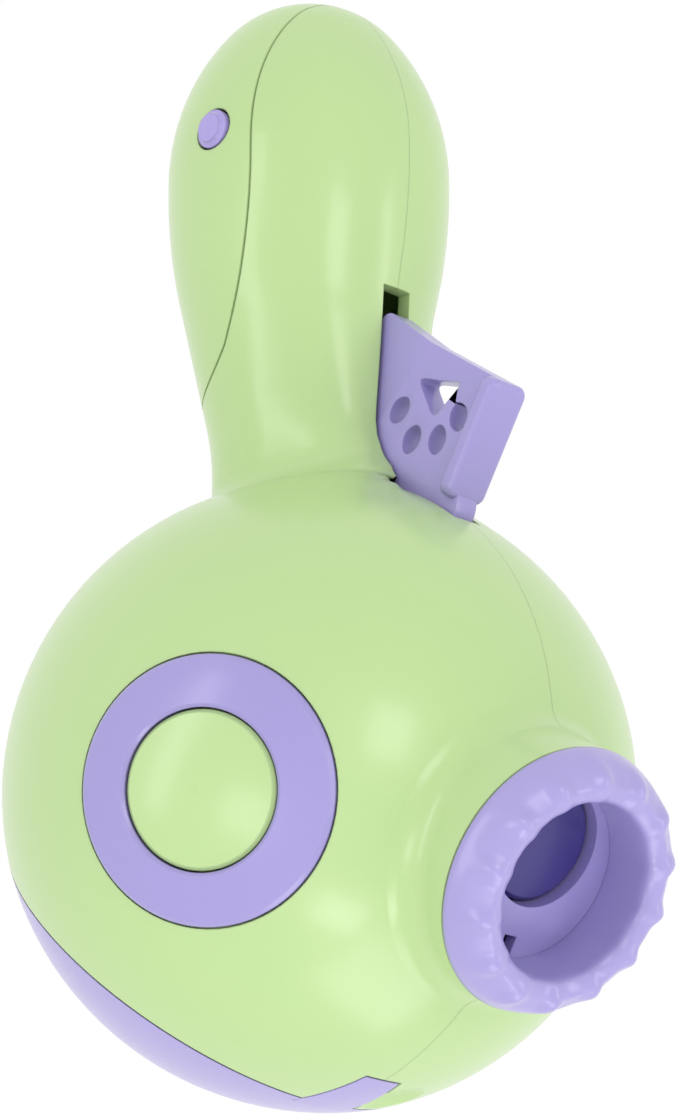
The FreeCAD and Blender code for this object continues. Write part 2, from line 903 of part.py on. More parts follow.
def lid_openings():
    """Mouth, hopper seat, tab bed, finger scoop and hinge room for the lid."""
    mouth = box("lid_mouth", EVERYWHERE, EVERYWHERE, (LID_OUT, S.slack))
    seat = cylinder("hopper_seat", S.hopper_flange_radius + S.pin_gap, S.slack, 0, 0, S.ledge_plane, "z")
    bed = cut("tab_bed", tab_prism("tab_bed_block", S.seam_gap),
              sphere("tab_bed_floor", S.ball_radius - S.tab_bed))
    scoop_out = (S.ball_radius + S.notch_radius - S.notch_depth) / S.ball_radius
    scoop_ahead = leg(leg(S.ball_radius, S.notch_height), S.notch_side)
    scoop = sphere("finger_scoop", S.notch_radius, scoop_ahead * scoop_out, -(S.notch_side * scoop_out),
                   S.notch_height * scoop_out)
    half = S.lid_knuckle_half + S.running_gap
    hinge_room = lid_hinge_rod("lid_hinge_room", S.lid_knuckle + S.running_gap, (-half, half))
    return in_lid(fuse("lid_openings", mouth, seat, bed, scoop, hinge_room))


def eye_openings():
    rods = []
    for word, side in SIDES:
        rods.append(eye_rod("eye_recess_" + word, side, S.eye_hole, S.eye_seat, S.slack))
        rods.append(eye_rod("eye_back_hole_" + word, side, S.eye_seat_hole, S.wall, S.slack))
    return rods


def lid_hinge_lugs():
    lugs = []
    for word, side in SIDES:
        across = both_ways(side, S.lid_knuckle_half + S.running_gap, S.lid_hinge_half)
        foot = LID_HINGE_X - S.wall / 2
        lugs.append(lid_hinge_rod("lid_hinge_knuckle_" + word, S.lid_knuckle, across))
        lugs.append(box("lid_hinge_foot_" + word, (foot, -S.hopper_flange_radius - S.pin_gap - 1), across,
                        (LID_OUT - 2 * S.lid_knuckle, LID_OUT)))
    return in_lid(fuse("lid_hinge_lugs", *lugs))


def cover_hinge_foot(name, across, margin):
    """The foot that joins a cover-hinge knuckle on the halves to the neck's wall."""
    front = (-(S.cover_hinge_back + 0.8) - margin, -(S.flare_radius - S.wall / 2) + margin)
    along = (S.flare_start, S.cover_hinge_at + margin)
    return grip_slab(name, front, along, across)


def cover_hinge_lugs():
    lugs = []
    for word, side in SIDES:
        across = both_ways(side, S.cover_knuckle_half + S.running_gap, S.cover_hinge_half)
        lugs.append(grip_rod("cover_hinge_knuckle_" + word, S.cover_knuckle, -S.cover_hinge_back,
                             S.cover_hinge_at, across))
        lugs.append(cover_hinge_foot("cover_hinge_foot_" + word, across, 0))
    return lugs


def latch_tongues():
    """Tongues that reach behind the cover, for its latch stems to press on."""
    tongues = []
    for word, side in SIDES:
        end = S.cage_floor_at - 0.6 - S.button_travel - S.running_gap - 0.1
        across = both_ways(side, end - S.tongue_thickness, end)
        along = (S.latch_at - S.tongue_height / 2, S.latch_at + S.tongue_height / 2)
        tongues.append(grip_slab("latch_tongue_" + word, (-2.5, S.grip_radius - 3.3), along, across))
    return tongues


def moulded_halves():
    """Both halves in one, before they are parted at the mid-plane."""
    half = S.cover_knuckle_half + S.running_gap
    hinge_room = grip_rod("cover_hinge_room", S.cover_knuckle + S.running_gap, -S.cover_hinge_back,
                          S.cover_hinge_at, (-half, half))
    openings = nozzle_bores() + [trigger_slot(), lid_openings(), hinge_room,
                                 seam_prism("cover_room", S.seam_gap)] + eye_openings()
    housing = cut("housing", outer_skin(), room(), *openings)
    joined = fuse("housing_with_lugs", housing, lid_hinge_lugs(), *(cover_hinge_lugs() + latch_tongues()))
    x, z = lid_point(LID_HINGE_X, S.lid_plane)
    lid_pin_bore = cylinder("lid_pin_bore", S.lid_pin_radius + S.pin_gap, S.slack * 2, x, -S.slack, z, "y")
    cover_pin_bore = grip_rod("cover_pin_bore", S.cover_pin_radius + S.pin_gap, -S.cover_hinge_back,
                              S.cover_hinge_at, EVERYWHERE)
    return cut("housing_bored", joined, lid_pin_bore, cover_pin_bore)


def shell_halves():
    """The left half with blind screw holes and the right half with screw wells."""
    housing = moulded_halves()
    pilots = []
    wells = []
    for n, (x, z) in enumerate(post_places(), start=1):
        pilots.append(cylinder("pilot_%d" % n, S.screw_shank + S.pin_gap, S.screw_length - S.well_floor + 1,
                               x, 0, z, "y"))
        wells.append(cylinder("well_%d" % n, S.well_radius, S.slack, x, -S.slack - S.well_floor, z, "y"))
        wells.append(cylinder("screw_way_%d" % n, S.screw_shank + S.pin_gap * 4, S.slack, x, -S.slack, z, "y"))
    left_side = box("left_side", EVERYWHERE, (0, S.slack), EVERYWHERE)
    right_side = box("right_side", EVERYWHERE, (-S.slack, 0), EVERYWHERE)
    return {
        "shell_left": from_ball(cut("shell_left", common("left_part", housing, left_side), *pilots)),
        "shell_right": from_ball(cut("shell_right", common("right_part", housing, right_side), *wells)),
    }


def shell_screws():
    screws = []
    for n, (x, z) in enumerate(post_places(), start=1):
        screws.append(cylinder("shank_%d" % n, S.screw_shank, S.screw_length, x, -S.well_floor, z, "y"))
        screws.append(cylinder("head_%d" % n, S.screw_head_radius, S.screw_head, x,
                               -S.well_floor - S.screw_head, z, "y"))
    return from_ball(fuse("shell_screws", *screws))


# ---------------------------------------------------------------- grip cover and its latches

def grip_cover():
    """The grip's back, with the two latch cages inside and a hinge knuckle at the top."""
    skin = common("cover_skin", in_grip(grip_form("cover_form", size(0))), seam_prism("cover_side", size(0)))
    hollow = in_grip(grip_form("cover_hollow", S.wall))
    solid = [cut("cover_wall", skin, hollow)]
    bores = []
    for word, side in SIDES:
        cage = both_ways(side, S.cage_floor_at, S.grip_radius - S.wall * 0.75)
        cage_room = both_ways(side, S.cage_floor_at + S.cage_floor, S.grip_radius - S.wall * 1.4)
        hole = both_ways(side, S.cage_floor_at + S.cage_floor, S.slack)
        inner = S.button_flange + S.running_gap
        solid.append(grip_rod("cage_" + word, inner + S.cage_wall, S.latch_front, S.latch_at, cage))
        bores.append(grip_rod("cage_room_" + word, inner, S.latch_front, S.latch_at, cage_room))
        bores.append(grip_rod("button_hole_" + word, S.button_radius + S.button_gap, S.latch_front,
                              S.latch_at, hole))
        bores.append(grip_rod("stem_hole_" + word, S.button_stem + S.running_gap, S.latch_front, S.latch_at,
                              both_ways(side, S.wall, S.slack)))
        across = both_ways(side, S.cover_knuckle_half, S.cover_hinge_half + S.running_gap)
        bores.append(grip_rod("knuckle_room_" + word, S.cover_knuckle + S.running_gap, -S.cover_hinge_back,
                              S.cover_hinge_at, across))
        bores.append(cover_hinge_foot("foot_room_" + word, across, S.running_gap))
    middle = (-S.cover_knuckle_half, S.cover_knuckle_half)
    solid.append(grip_rod("cover_knuckle", S.cover_knuckle, -S.cover_hinge_back, S.cover_hinge_at, middle))
    solid.append(grip_slab("cover_hinge_arm",
                           (-(S.cover_hinge_back + 1.2), -(S.flare_radius - S.wall / 2)),
                           (S.cover_hinge_at, S.seam_turn_at), middle))
    bores.append(grip_rod("cover_pin_way", S.cover_pin_radius + S.pin_gap, -S.cover_hinge_back,
                          S.cover_hinge_at, EVERYWHERE))
    return from_ball(cut("grip_cover", fuse("cover_solid", *solid), *bores))


def beside_latch(target, side, out):
    """Turns a piece drawn along +X to run outwards at a latch, starting at a distance from the middle."""
    x, z = grip_point(S.latch_front, S.latch_at)
    turn(target, V(0, 0, 1), 90.0 * side)
    move(target, BALL_X + x, size(out) * side, BALL_Z + z)
    return target


def latch_button(word, side):
    """Round push button: domed head, retaining flange and stem, drawn from its stem's end outwards."""
    body = new_body("latch_button_" + word)
    stem_end = S.cage_floor_at - 0.6
    top = S.grip_radius + S.button_proud - stem_end
    flange_top = S.grip_radius - S.wall - S.cage_floor - stem_end
    revolve(body, "button_" + word, (
        (0, 0),
        (top, 0),
        (top - S.button_edge * 0.3, S.button_radius - S.button_edge, S.ball_radius * 0.3, 1),
        (top - S.button_edge * 1.3, S.button_radius, S.button_edge * 1.05, 1),
        (flange_top, S.button_radius),
        (flange_top, S.button_flange),
        (flange_top - S.button_flange_thickness, S.button_flange),
        (flange_top - S.button_flange_thickness, S.button_stem),
        (0, S.button_stem),
    ))
    return beside_latch(body, side, stem_end)


def latch_spring(word, side):
    floor = S.cage_floor_at + S.cage_floor
    flange_top = S.grip_radius - S.wall - S.cage_floor
    length = flange_top - S.button_flange_thickness - floor - S.running_gap
    spring = coil("latch_spring_" + word, S.latch_wire, S.latch_coil, S.latch_pitch, length)
    x, z = grip_point(S.latch_front, S.latch_at)
    turn(spring, V(1, 0, 0), -90.0 * side)
    move(spring, BALL_X + x, floor * side, BALL_Z + z)
    return spring


# ---------------------------------------------------------------- lid, hopper and their small pieces

def lid():
    """Flattened dome with a seal land, a locating skirt, a front tab and a hinge knuckle."""
    top = S.lid_plane + S.lid_crown
    centre = top - LID_ROUND
    inside = LID_ROUND - S.wall
    skirt_in = S.lid_skirt_radius - S.lid_skirt_wall
    dome = turned("lid_dome", (
        (0, top - S.wall),
        (skirt_in, centre + leg(inside, skirt_in), inside, 1),
        (skirt_in, S.lid_plane - S.lid_skirt_depth),
        (S.lid_skirt_radius, S.lid_plane - S.lid_skirt_depth),
        (S.lid_skirt_radius, S.lid_plane),
        (LID_BASE, S.lid_plane),
        (0, top, LID_ROUND, -1),
    ))
    tab = cut("lid_tab", common("lid_tab_face", tab_prism("lid_tab_block", size(0)),
                                sphere("lid_tab_skin", S.ball_radius)),
              sphere("lid_tab_back", S.ball_radius - S.tab_thickness))
    middle = (-S.lid_knuckle_half, S.lid_knuckle_half)
    knuckle = lid_hinge_rod("lid_knuckle", S.lid_knuckle, middle)
    arm = box("lid_hinge_arm", (LID_HINGE_X, -S.hopper_flange_radius), middle,
              (S.lid_plane, S.lid_plane + S.lid_knuckle))
    rooms = [lid_hinge_rod("lid_knuckle_room_" + word, S.lid_knuckle + S.running_gap,
                           both_ways(side, S.lid_knuckle_half, S.lid_hinge_half + S.running_gap))
             for word, side in SIDES]
    bore = lid_hinge_rod("lid_pin_way", S.lid_pin_radius + S.pin_gap, EVERYWHERE)
    return from_lid(cut("lid", fuse("lid_solid", dome, tab, knuckle, arm), bore, *rooms))


def hinge_pin(name, radius, place, half):
    """A pin from side to side at a ball-frame place."""
    x, z = place
    return cylinder(name, radius, half * 2, BALL_X + x, -half, BALL_Z + z, "y")


def lid_seal():
    bottom = S.lid_plane - S.seal_height
    ring = cylinder("seal_disc", S.seal_outer, S.seal_height, 0, 0, bottom, "z")
    hole = cylinder("seal_hole", S.seal_inner, S.slack, 0, 0, 0, "z")
    return from_lid(cut("lid_seal", ring, hole))


def level_circle(name, radius, x, z):
    """A circle that lies level in the ball frame."""
    ring = doc.addObject("Part::Circle", name)
    bind(ring, "Radius", radius)
    move(ring, x, 0, z)
    return ring


def lid_circle(name, radius, height):
    """A circle that lies square to the lid's axis."""
    ring = doc.addObject("Part::Circle", name)
    bind(ring, "Radius", radius)
    x, z = lid_point(size(0), height)
    turn(ring, V(0, 1, 0), -S.lid_tilt)
    move(ring, x, 0, z)
    return ring


def funnel(name, top_radius, bottom_radius):
    """The skewed cone from the filler's neck to the feed chimney, with straight sides."""
    neck = S.ledge_plane - S.hopper_neck
    cone = doc.addObject("Part::Loft", name)
    cone.Sections = [lid_circle(name + "_top", top_radius, neck),
                     level_circle(name + "_bottom", bottom_radius, S.feed_at, S.chimney_top)]
    cone.Solid = True
    cone.Ruled = True
    return cone


def hopper():
    """Treat hopper: flange, neck, skewed funnel and a chimney saddled on the launch tube."""
    neck = S.ledge_plane - S.hopper_neck
    top = S.ledge_plane + S.hopper_flange
    outer = S.hopper_mouth + S.hopper_wall
    chimney = S.feed_radius + S.hopper_wall
    rings = in_lid(fuse("hopper_rings",
                        cylinder("hopper_flange_disc", S.hopper_flange_radius, S.hopper_flange,
                                 0, 0, S.ledge_plane, "z"),
                        cylinder("hopper_neck_disc", outer, S.hopper_neck + S.hopper_flange / 2, 0, 0, neck, "z")))
    mouth = doc.addObject("Part::Compound", "hopper_mouth_way")
    mouth.Links = [cylinder("hopper_mouth_disc", S.hopper_mouth, top - neck + 1, 0, 0, neck, "z")]
    solid = fuse("hopper_solid", rings, funnel("funnel_outside", outer, chimney),
                 cylinder("chimney", chimney, S.chimney_top - TUBE_Z, S.feed_at, 0, TUBE_Z, "z"))
    return from_ball(cut("hopper", solid, in_lid(mouth),
                         funnel("funnel_inside", S.hopper_mouth, S.feed_radius),
                         cylinder("chimney_way", S.feed_radius, S.chimney_top - TUBE_Z, S.feed_at, 0, TUBE_Z, "z"),
                         cylinder("saddle", TUBE_RADIUS + S.pin_gap, S.slack, 0, 0, TUBE_Z, "x")))


# ---------------------------------------------------------------- eyes

def eye_ring(word, side):
    """Domed ring, hollow behind, drawn along +X from the ball's centre."""
    body = new_body("eye_ring_" + word)
    dome = S.ball_radius + S.eye_proud
    inside = dome - S.eye_skin
    outer = S.eye_hole - S.eye_gap
    inner = S.eye_ring_inner
    bevel = S.eye_bevel
    revolve(body, "ring_" + word, (
        (S.eye_seat, outer),
        (S.eye_seat, outer - S.eye_skin),
        (leg(inside, outer - S.eye_skin), outer - S.eye_skin),
        (leg(inside, inner + S.eye_skin), inner + S.eye_skin, inside, 1),
        (S.eye_seat, inner + S.eye_skin),
        (S.eye_seat, inner),
        (leg(dome, inner) - bevel, inner),
        (leg(dome, inner + bevel), inner + bevel),
        (leg(dome, outer - bevel), outer - bevel, dome, -1),
        (leg(dome, outer) - bevel, outer),
    ))
    return from_eye(body, side)


def eye_cap(word, side):
    """Domed centre cap with a skirt that stands on the eye's seat."""
    body = new_body("eye_cap_" + word)
    dome = S.ball_radius + S.eye_proud / 3
    radius = S.eye_ring_inner - S.cap_gap
    bevel = S.eye_bevel
    skirt = radius - S.cap_flange
    revolve(body, "cap_" + word, (
        (dome, 0),
        (leg(dome, radius - bevel), radius - bevel, dome, -1),
        (leg(dome, radius) - bevel, radius),
        (S.eye_seat, radius),
        (S.eye_seat, skirt),
        (leg(dome - S.eye_skin, skirt), skirt),
        (dome - S.eye_skin, 0, dome - S.eye_skin, 1),
    ))
    return from_eye(body, side)


# ---------------------------------------------------------------- nozzle, tube and piston

def nozzle_knob():
    """Scalloped nozzle: flared flange, hub with three bayonet lugs, and a wavy mouth."""
    back = S.collar_front + S.running_gap
    front = back + S.knob_length
    hub_back = S.plate_front + S.running_gap
    body = new_body("knob_form")
    revolve(body, "knob", (
        (hub_back, S.mouth_radius),
        (hub_back, S.knob_hub_radius),
        (back, S.knob_hub_radius),
        (back, S.knob_back_radius),
        (front - S.knob_edge * 0.75, S.knob_front_radius, S.knob_flank_curve, 1),
        (front, S.knob_ridge_radius, S.knob_edge, 1),
        (front - S.mouth_lip, S.mouth_radius),
    ))
    move(body, 0, 0, -S.nozzle_drop)
    lug_front = back - S.lug_from_flange
    lug_back = lug_front - S.lug_thickness
    lug_ring = cylinder("lug_disc", S.lug_radius, S.lug_thickness, lug_back, 0, -S.nozzle_drop, "x")
    lug_hole = cylinder("lug_hole", S.mouth_radius + 1, S.slack, 0, 0, -S.nozzle_drop, "x")
    lugs = cut("lugs", common("lug_tips", lug_ring, lug_blocks("lug_blocks", S.lug_width, lug_back, lug_front, 0.0)),
               lug_hole)
    flutes = []
    count = int(S.flute_count.value)
    start = S.mouth_radius - 2
    deepest = S.flute_radius + S.flute_depth + S.flute_slope * (S.knob_ridge_radius - start)
    for n in range(count):
        angle = size(360.0) * n / S.flute_count
        flute = doc.addObject("Part::Cone", "flute_%d" % (n + 1))
        bind(flute, "Radius1", deepest)
        bind(flute, "Radius2", deepest - S.flute_slope * S.flute_reach)
        bind(flute, "Height", S.flute_reach)
        turn(flute, V(1, 0, 0), angle)
        move(flute, front + S.flute_radius, -(sine(angle) * start), cosine(angle) * start - S.nozzle_drop)
        flutes.append(flute)
    return from_ball(cut("nozzle_knob", fuse("knob_with_lugs", body, lugs), *flutes))


def launch_tube():
    """Firing tube with an end wall, a feed window on top and the round front plate."""
    outside = fuse("tube_solid",
                   cylinder("tube_outside", TUBE_RADIUS, S.plate_front - S.tube_back, S.tube_back, 0, TUBE_Z, "x"),
                   cylinder("tube_plate", S.plate_radius, S.tube_plate, PLATE_BACK, 0, -S.nozzle_drop, "x"))
    bore_back = S.tube_back + S.tube_end_wall
    half = S.plate_window_width / 2
    low = S.plate_window_up - S.nozzle_drop
    return from_ball(cut(
        "launch_tube", outside,
        cylinder("tube_bore", S.tube_bore, S.slack, bore_back, 0, TUBE_Z, "x"),
        cylinder("stem_hole", S.stem_radius + S.running_gap + S.pin_gap, S.slack, 0, 0, TUBE_Z, "x"),
        cylinder("feed_window", S.feed_radius, S.slack, S.feed_at, 0, TUBE_Z, "z"),
        box("plate_window", (PLATE_BACK, S.slack), (-half, half), (low, low + S.plate_window_height))))


def piston():
    """Spring piston: hollow head in the tube, stem through its end wall and the collar that the sear hooks."""
    body = new_body("piston")
    head = S.tube_bore - S.running_gap
    front = S.piston_front
    crown = front - S.piston_crown
    edge = S.pad_thickness / 4
    revolve(body, "piston_turned", (
        (S.stem_head_front - S.stem_head_length, 0),
        (S.stem_head_front - S.stem_head_length, S.stem_head_radius - edge),
        (S.stem_head_front - S.stem_head_length + edge, S.stem_head_radius),
        (S.stem_head_front, S.stem_head_radius),
        (S.stem_head_front, S.stem_radius),
        (crown, S.stem_radius),
        (crown, head - S.piston_skin),
        (front - S.piston_length, head - S.piston_skin),
        (front - S.piston_length, head),
        (front - edge, head),
        (front, head - edge),
        (front, 0),
    ))
    move(body, BALL_X, 0, BALL_Z + TUBE_Z)
    return body


def launch_spring():
    back = S.tube_back + S.tube_end_wall
    length = S.piston_front - S.piston_crown - back - S.running_gap
    spring = coil("launch_spring", S.launch_wire, S.launch_coil, S.launch_pitch, length)
    turn(spring, V(0, 1, 0), 90.0)
    move(spring, BALL_X + back, 0, BALL_Z + TUBE_Z)
    return spring


# ---------------------------------------------------------------- trigger and sear

def oval(x, z, half_length, half_width, tilt):
    """Four-arc oval, long along a direction tilted from upright."""
    end = half_width * 0.7
    off = half_length - end
    side_radius = (off * off + half_width * half_width - end * end) / (2 * (half_width - end))
    back = side_radius - half_width
    reach = side_radius / (side_radius - end)
    along, across = off * reach, back * reach - back
    c, s = cosine(size(tilt)), sine(size(tilt))
    corners = []
    for up, right, radius in ((1, -1, side_radius), (1, 1, end), (-1, 1, side_radius), (-1, -1, end)):
        corners.append((x + s * along * up + c * across * right,
                        z + c * along * up - s * across * right, radius, 1))
    return tuple(corners)


PAW_TOES = ((-6.7, 4.6, -24.0), (-1.7, 7.9, -6.0), (3.6, 6.3, 14.0), (6.1, 1.8, 32.0))
PAW_PAD = ((0.9, 2.3, 4.6), (-3.6, 1.2, 5.2), (-4.0, -1.6, 1.7), (-1.4, -3.0, 5.6), (3.1, -2.2, 5.6),
           (3.6, 0.2, 1.7))


def paw_cutouts():
    """The pad and four toes of the paw print, on the blade's plane."""
    x, z = -S.paw_back, -S.paw_down
    outlines = [tuple((x + S.paw_scale * a, z + S.paw_scale * b, S.paw_scale * r, -1) for a, b, r in PAW_PAD)]
    for a, b, tilt in PAW_TOES:
        outlines.append(oval(x + S.paw_scale * a, z + S.paw_scale * b, S.toe_length / 2, S.toe_width / 2, tilt))
    return outlines


def trigger():
    """Sliding trigger: blade with the paw print, finger pad, guided carriage and the sear's clevis."""
    body = new_body("trigger")
    foot = -S.blade_foot
    neck = -S.pad_top
    pad(body, "finger_pad", "XZ_Plane", S.pad_width,
        rectangle((S.pad_front - S.pad_thickness, S.pad_front), (foot, neck)))
    round_edges(body, "finger_pad_corners", S.pad_thickness * 0.7, is_pad_corner)
    round_edges(body, "finger_pad_edge", S.pad_thickness * 0.42, is_pad_rim)
    pad(body, "blade", "XZ_Plane", S.blade_thickness, (
        (S.pad_front - S.pad_thickness * 0.6, foot),
        (S.pad_front - S.pad_thickness * 0.6, neck - 2.2),
        (S.blade_toe_front - 0.4, neck + 2.4, 5.0, -1),
        (S.blade_toe_front, neck + 4.6),
        (S.blade_toe_front, CARRIAGE_BOTTOM + 1),
        (-S.carriage_back, CARRIAGE_BOTTOM + 1),
        (-S.carriage_back, -S.ball_radius),
        (-(S.blade_heel_back - 0.3), foot - S.blade_heel_drop + 2),
        (-(S.blade_heel_back - 2.2), foot - S.blade_heel_drop, 2.0, -1),
        (-S.blade_heel_back / 2, foot - S.blade_heel_drop / 5),
    ), *paw_cutouts())
    pad(body, "carriage", "XZ_Plane", S.runner_width,
        rectangle((-S.carriage_back, S.carriage_front), (CARRIAGE_BOTTOM, CARRIAGE_Z)))
    pad(body, "sear_arm", "XZ_Plane", S.arm_width,
        rectangle((-S.arm_back, S.arm_front), (CARRIAGE_Z, -S.arm_top)))
    pocket(body, "clevis_slot", "XZ_Plane", S.sear_thickness + 2 * S.running_gap,
           rectangle((-S.arm_back - 1, S.arm_front + 1), (-S.cheek_slot_floor, -S.arm_top + 1)))
    pocket(body, "sear_pin_hole", "XZ_Plane", S.runner_width,
           ("circle", -S.sear_pivot_back, -S.sear_pivot_drop, S.sear_pin_radius + S.pin_gap))
    return from_ball(body)


def is_pad_corner(edge):
    """The finger pad's four short edges that run fore and aft at its corners."""
    start, end = edge.Vertexes[0].Point, edge.Vertexes[-1].Point
    fore_and_aft = abs(start.y - end.y) < 0.01 and abs(start.z - end.z) < 0.01
    return fore_and_aft and abs(abs(start.y) - S.pad_width.value / 2) < 0.01


def is_pad_rim(edge):
    """Edges all round the front and back faces of the finger pad's rounded outline."""
    front = S.pad_front.value
    points = [vertex.Point for vertex in edge.Vertexes]
    return all(abs(p.x - front) < 0.01 for p in points)


def sear():
    """Catch that hooks in front of the piston's collar and tips down to let it go."""
    body = new_body("sear")
    pivot_x, pivot_z = -S.sear_pivot_back, -S.sear_pivot_drop
    back = S.stem_head_front + S.running_gap
    front = back + S.sear_nose
    top = TUBE_Z - S.stem_head_radius + S.sear_bite
    eye = S.sear_eye
    edge = size(0.8)
    pad(body, "sear_plate", "XZ_Plane", S.sear_thickness, (
        (front - edge, pivot_z - eye * 0.6),
        (front, pivot_z - eye * 0.6 + edge, edge, -1),
        (front, top - edge),
        (front - edge, top, edge, -1),
        (back, top),
        (back, pivot_z + eye),
        (pivot_x, pivot_z + eye),
        (pivot_x - eye, pivot_z, eye, -1),
        (pivot_x, pivot_z - eye, eye, -1),
    ))
    pocket(body, "sear_eye", "XZ_Plane", S.runner_width,
           ("circle", pivot_x, pivot_z, S.sear_pin_radius + S.pin_gap))
    return from_ball(body)


def sear_spring():
    floor = -S.cheek_slot_floor
    x = -S.sear_spring_back
    beam = -S.sear_pivot_drop - S.sear_eye * 0.88
    spring = coil("sear_spring", S.sear_wire, S.sear_coil, S.sear_pitch, beam - floor - S.running_gap)
    move(spring, BALL_X + x, 0, BALL_Z + floor)
    return spring


def trigger_spring():
    length = S.spring_seat_back - S.carriage_back - S.running_gap
    spring = coil("trigger_spring", S.trigger_wire, S.trigger_coil, S.trigger_pitch, length)
    turn(spring, V(0, 1, 0), 90.0)
    move(spring, BALL_X - S.spring_seat_back, 0, BALL_Z + CARRIAGE_Z - S.carriage_height / 2)
    return spring


# ---------------------------------------------------------------- assembly

def build_pieces():
    """Every piece by its node name."""
    pieces = shell_halves()
    pieces["grip_cover"] = grip_cover()
    pieces["lid"] = lid()
    pieces["lid_seal"] = lid_seal()
    pieces["lid_pin"] = hinge_pin("lid_pin", S.lid_pin_radius, lid_point(LID_HINGE_X, S.lid_plane),
                                  S.lid_hinge_half)
    pieces["grip_cover_pin"] = hinge_pin("grip_cover_pin", S.cover_pin_radius,
                                         grip_point(-S.cover_hinge_back, S.cover_hinge_at), S.cover_hinge_half)
    pieces["hopper"] = hopper()
    for word, side in SIDES:
        pieces["eye_ring_" + word] = eye_ring(word, side)
        pieces["eye_cap_" + word] = eye_cap(word, side)
        pieces["latch_button_" + word] = latch_button(word, side)
        pieces["latch_spring_" + word] = latch_spring(word, side)
    pieces["nozzle_knob"] = nozzle_knob()
    pieces["launch_tube"] = launch_tube()
    pieces["piston"] = piston()
    pieces["launch_spring"] = launch_spring()
    pieces["trigger"] = trigger()
    pieces["trigger_spring"] = trigger_spring()
    pieces["sear"] = sear()
    pieces["sear_spring"] = sear_spring()
    pieces["sear_pin"] = hinge_pin("sear_pin", S.sear_pin_radius, (-S.sear_pivot_back, -S.sear_pivot_drop),
                                   S.arm_width / 2)
    pieces["shell_screws"] = shell_screws()
    return pieces


def write_pieces(pieces):
    """Checks the document and each piece, then writes the pieces out."""
    doc.recompute()
    for item in doc.Objects:
        if "Invalid" in item.State or "Error" in item.State:
            raise RuntimeError("%s did not build" % item.Name)
    os.makedirs("parts", exist_ok=True)
    for node, piece in pieces.items():
        piece.Label = node
        if piece.Shape.isNull() or not piece.Shape.isValid():
            raise RuntimeError("%s is not a sound solid" % node)
        piece.Shape.exportStep("parts/%s.step" % node)


write_pieces(build_pieces())
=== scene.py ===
"""Dresses the treat dispenser: moulded finishes, softened pieces, seams, studio light and camera.

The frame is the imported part's own: metres, +X forward along the barrel, +Z up, +Y to the user's left.
"""
from __future__ import annotations

import logging
import math
from collections.abc import Callable, Sequence
from dataclasses import dataclass, field
from enum import Enum
from functools import cache

import bmesh
import bpy
from mathutils import Matrix, Vector

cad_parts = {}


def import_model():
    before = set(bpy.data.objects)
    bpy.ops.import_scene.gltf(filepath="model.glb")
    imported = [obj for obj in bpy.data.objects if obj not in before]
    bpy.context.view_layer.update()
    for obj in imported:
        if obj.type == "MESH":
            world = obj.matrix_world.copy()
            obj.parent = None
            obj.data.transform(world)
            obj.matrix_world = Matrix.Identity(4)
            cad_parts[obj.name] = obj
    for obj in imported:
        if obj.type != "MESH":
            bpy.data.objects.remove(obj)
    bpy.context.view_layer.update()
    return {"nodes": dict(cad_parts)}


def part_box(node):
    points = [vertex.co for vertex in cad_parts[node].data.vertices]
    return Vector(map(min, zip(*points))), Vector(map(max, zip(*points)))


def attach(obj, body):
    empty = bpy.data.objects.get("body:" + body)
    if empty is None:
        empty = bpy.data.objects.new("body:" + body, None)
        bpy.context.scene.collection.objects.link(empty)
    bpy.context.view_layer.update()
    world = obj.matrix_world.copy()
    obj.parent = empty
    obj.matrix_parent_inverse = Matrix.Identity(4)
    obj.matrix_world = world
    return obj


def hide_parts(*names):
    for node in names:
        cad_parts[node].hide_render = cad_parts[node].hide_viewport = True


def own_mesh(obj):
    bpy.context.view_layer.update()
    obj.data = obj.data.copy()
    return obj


log = logging.getLogger("treat_dispenser")

MM = 0.001
IMAGE_HEIGHT = 1120

# The grip's axis leans by RAKE. It passes GRIP_SET_BACK behind the ball's centre, and the hand closes round
# it GRIP_REACH further down, at the frame's origin.
RAKE = math.radians(31.5)
GRIP_REACH = 95.0
GRIP_SET_BACK = 4.0
GRIP_FORWARD = Vector((math.cos(RAKE), 0.0, -math.sin(RAKE)))
GRIP_DOWN = Vector((-math.sin(RAKE), 0.0, -math.cos(RAKE)))
BALL_AHEAD = round(GRIP_SET_BACK + GRIP_REACH * math.sin(RAKE), 3)
BALL_ABOVE = round(GRIP_REACH * math.cos(RAKE), 3)
BALL_CENTRE = Vector((BALL_AHEAD, 0.0, BALL_ABOVE)) * MM
BARREL = Vector((1.0, 0.0, 0.0))

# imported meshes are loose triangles; corners nearer than this are one
JOIN_DISTANCE = 0.002 * MM

Pieces = dict[str, bpy.types.Object]
Move = Callable[[Vector], Vector]


# ---------------------------------------------------------------- shader maths

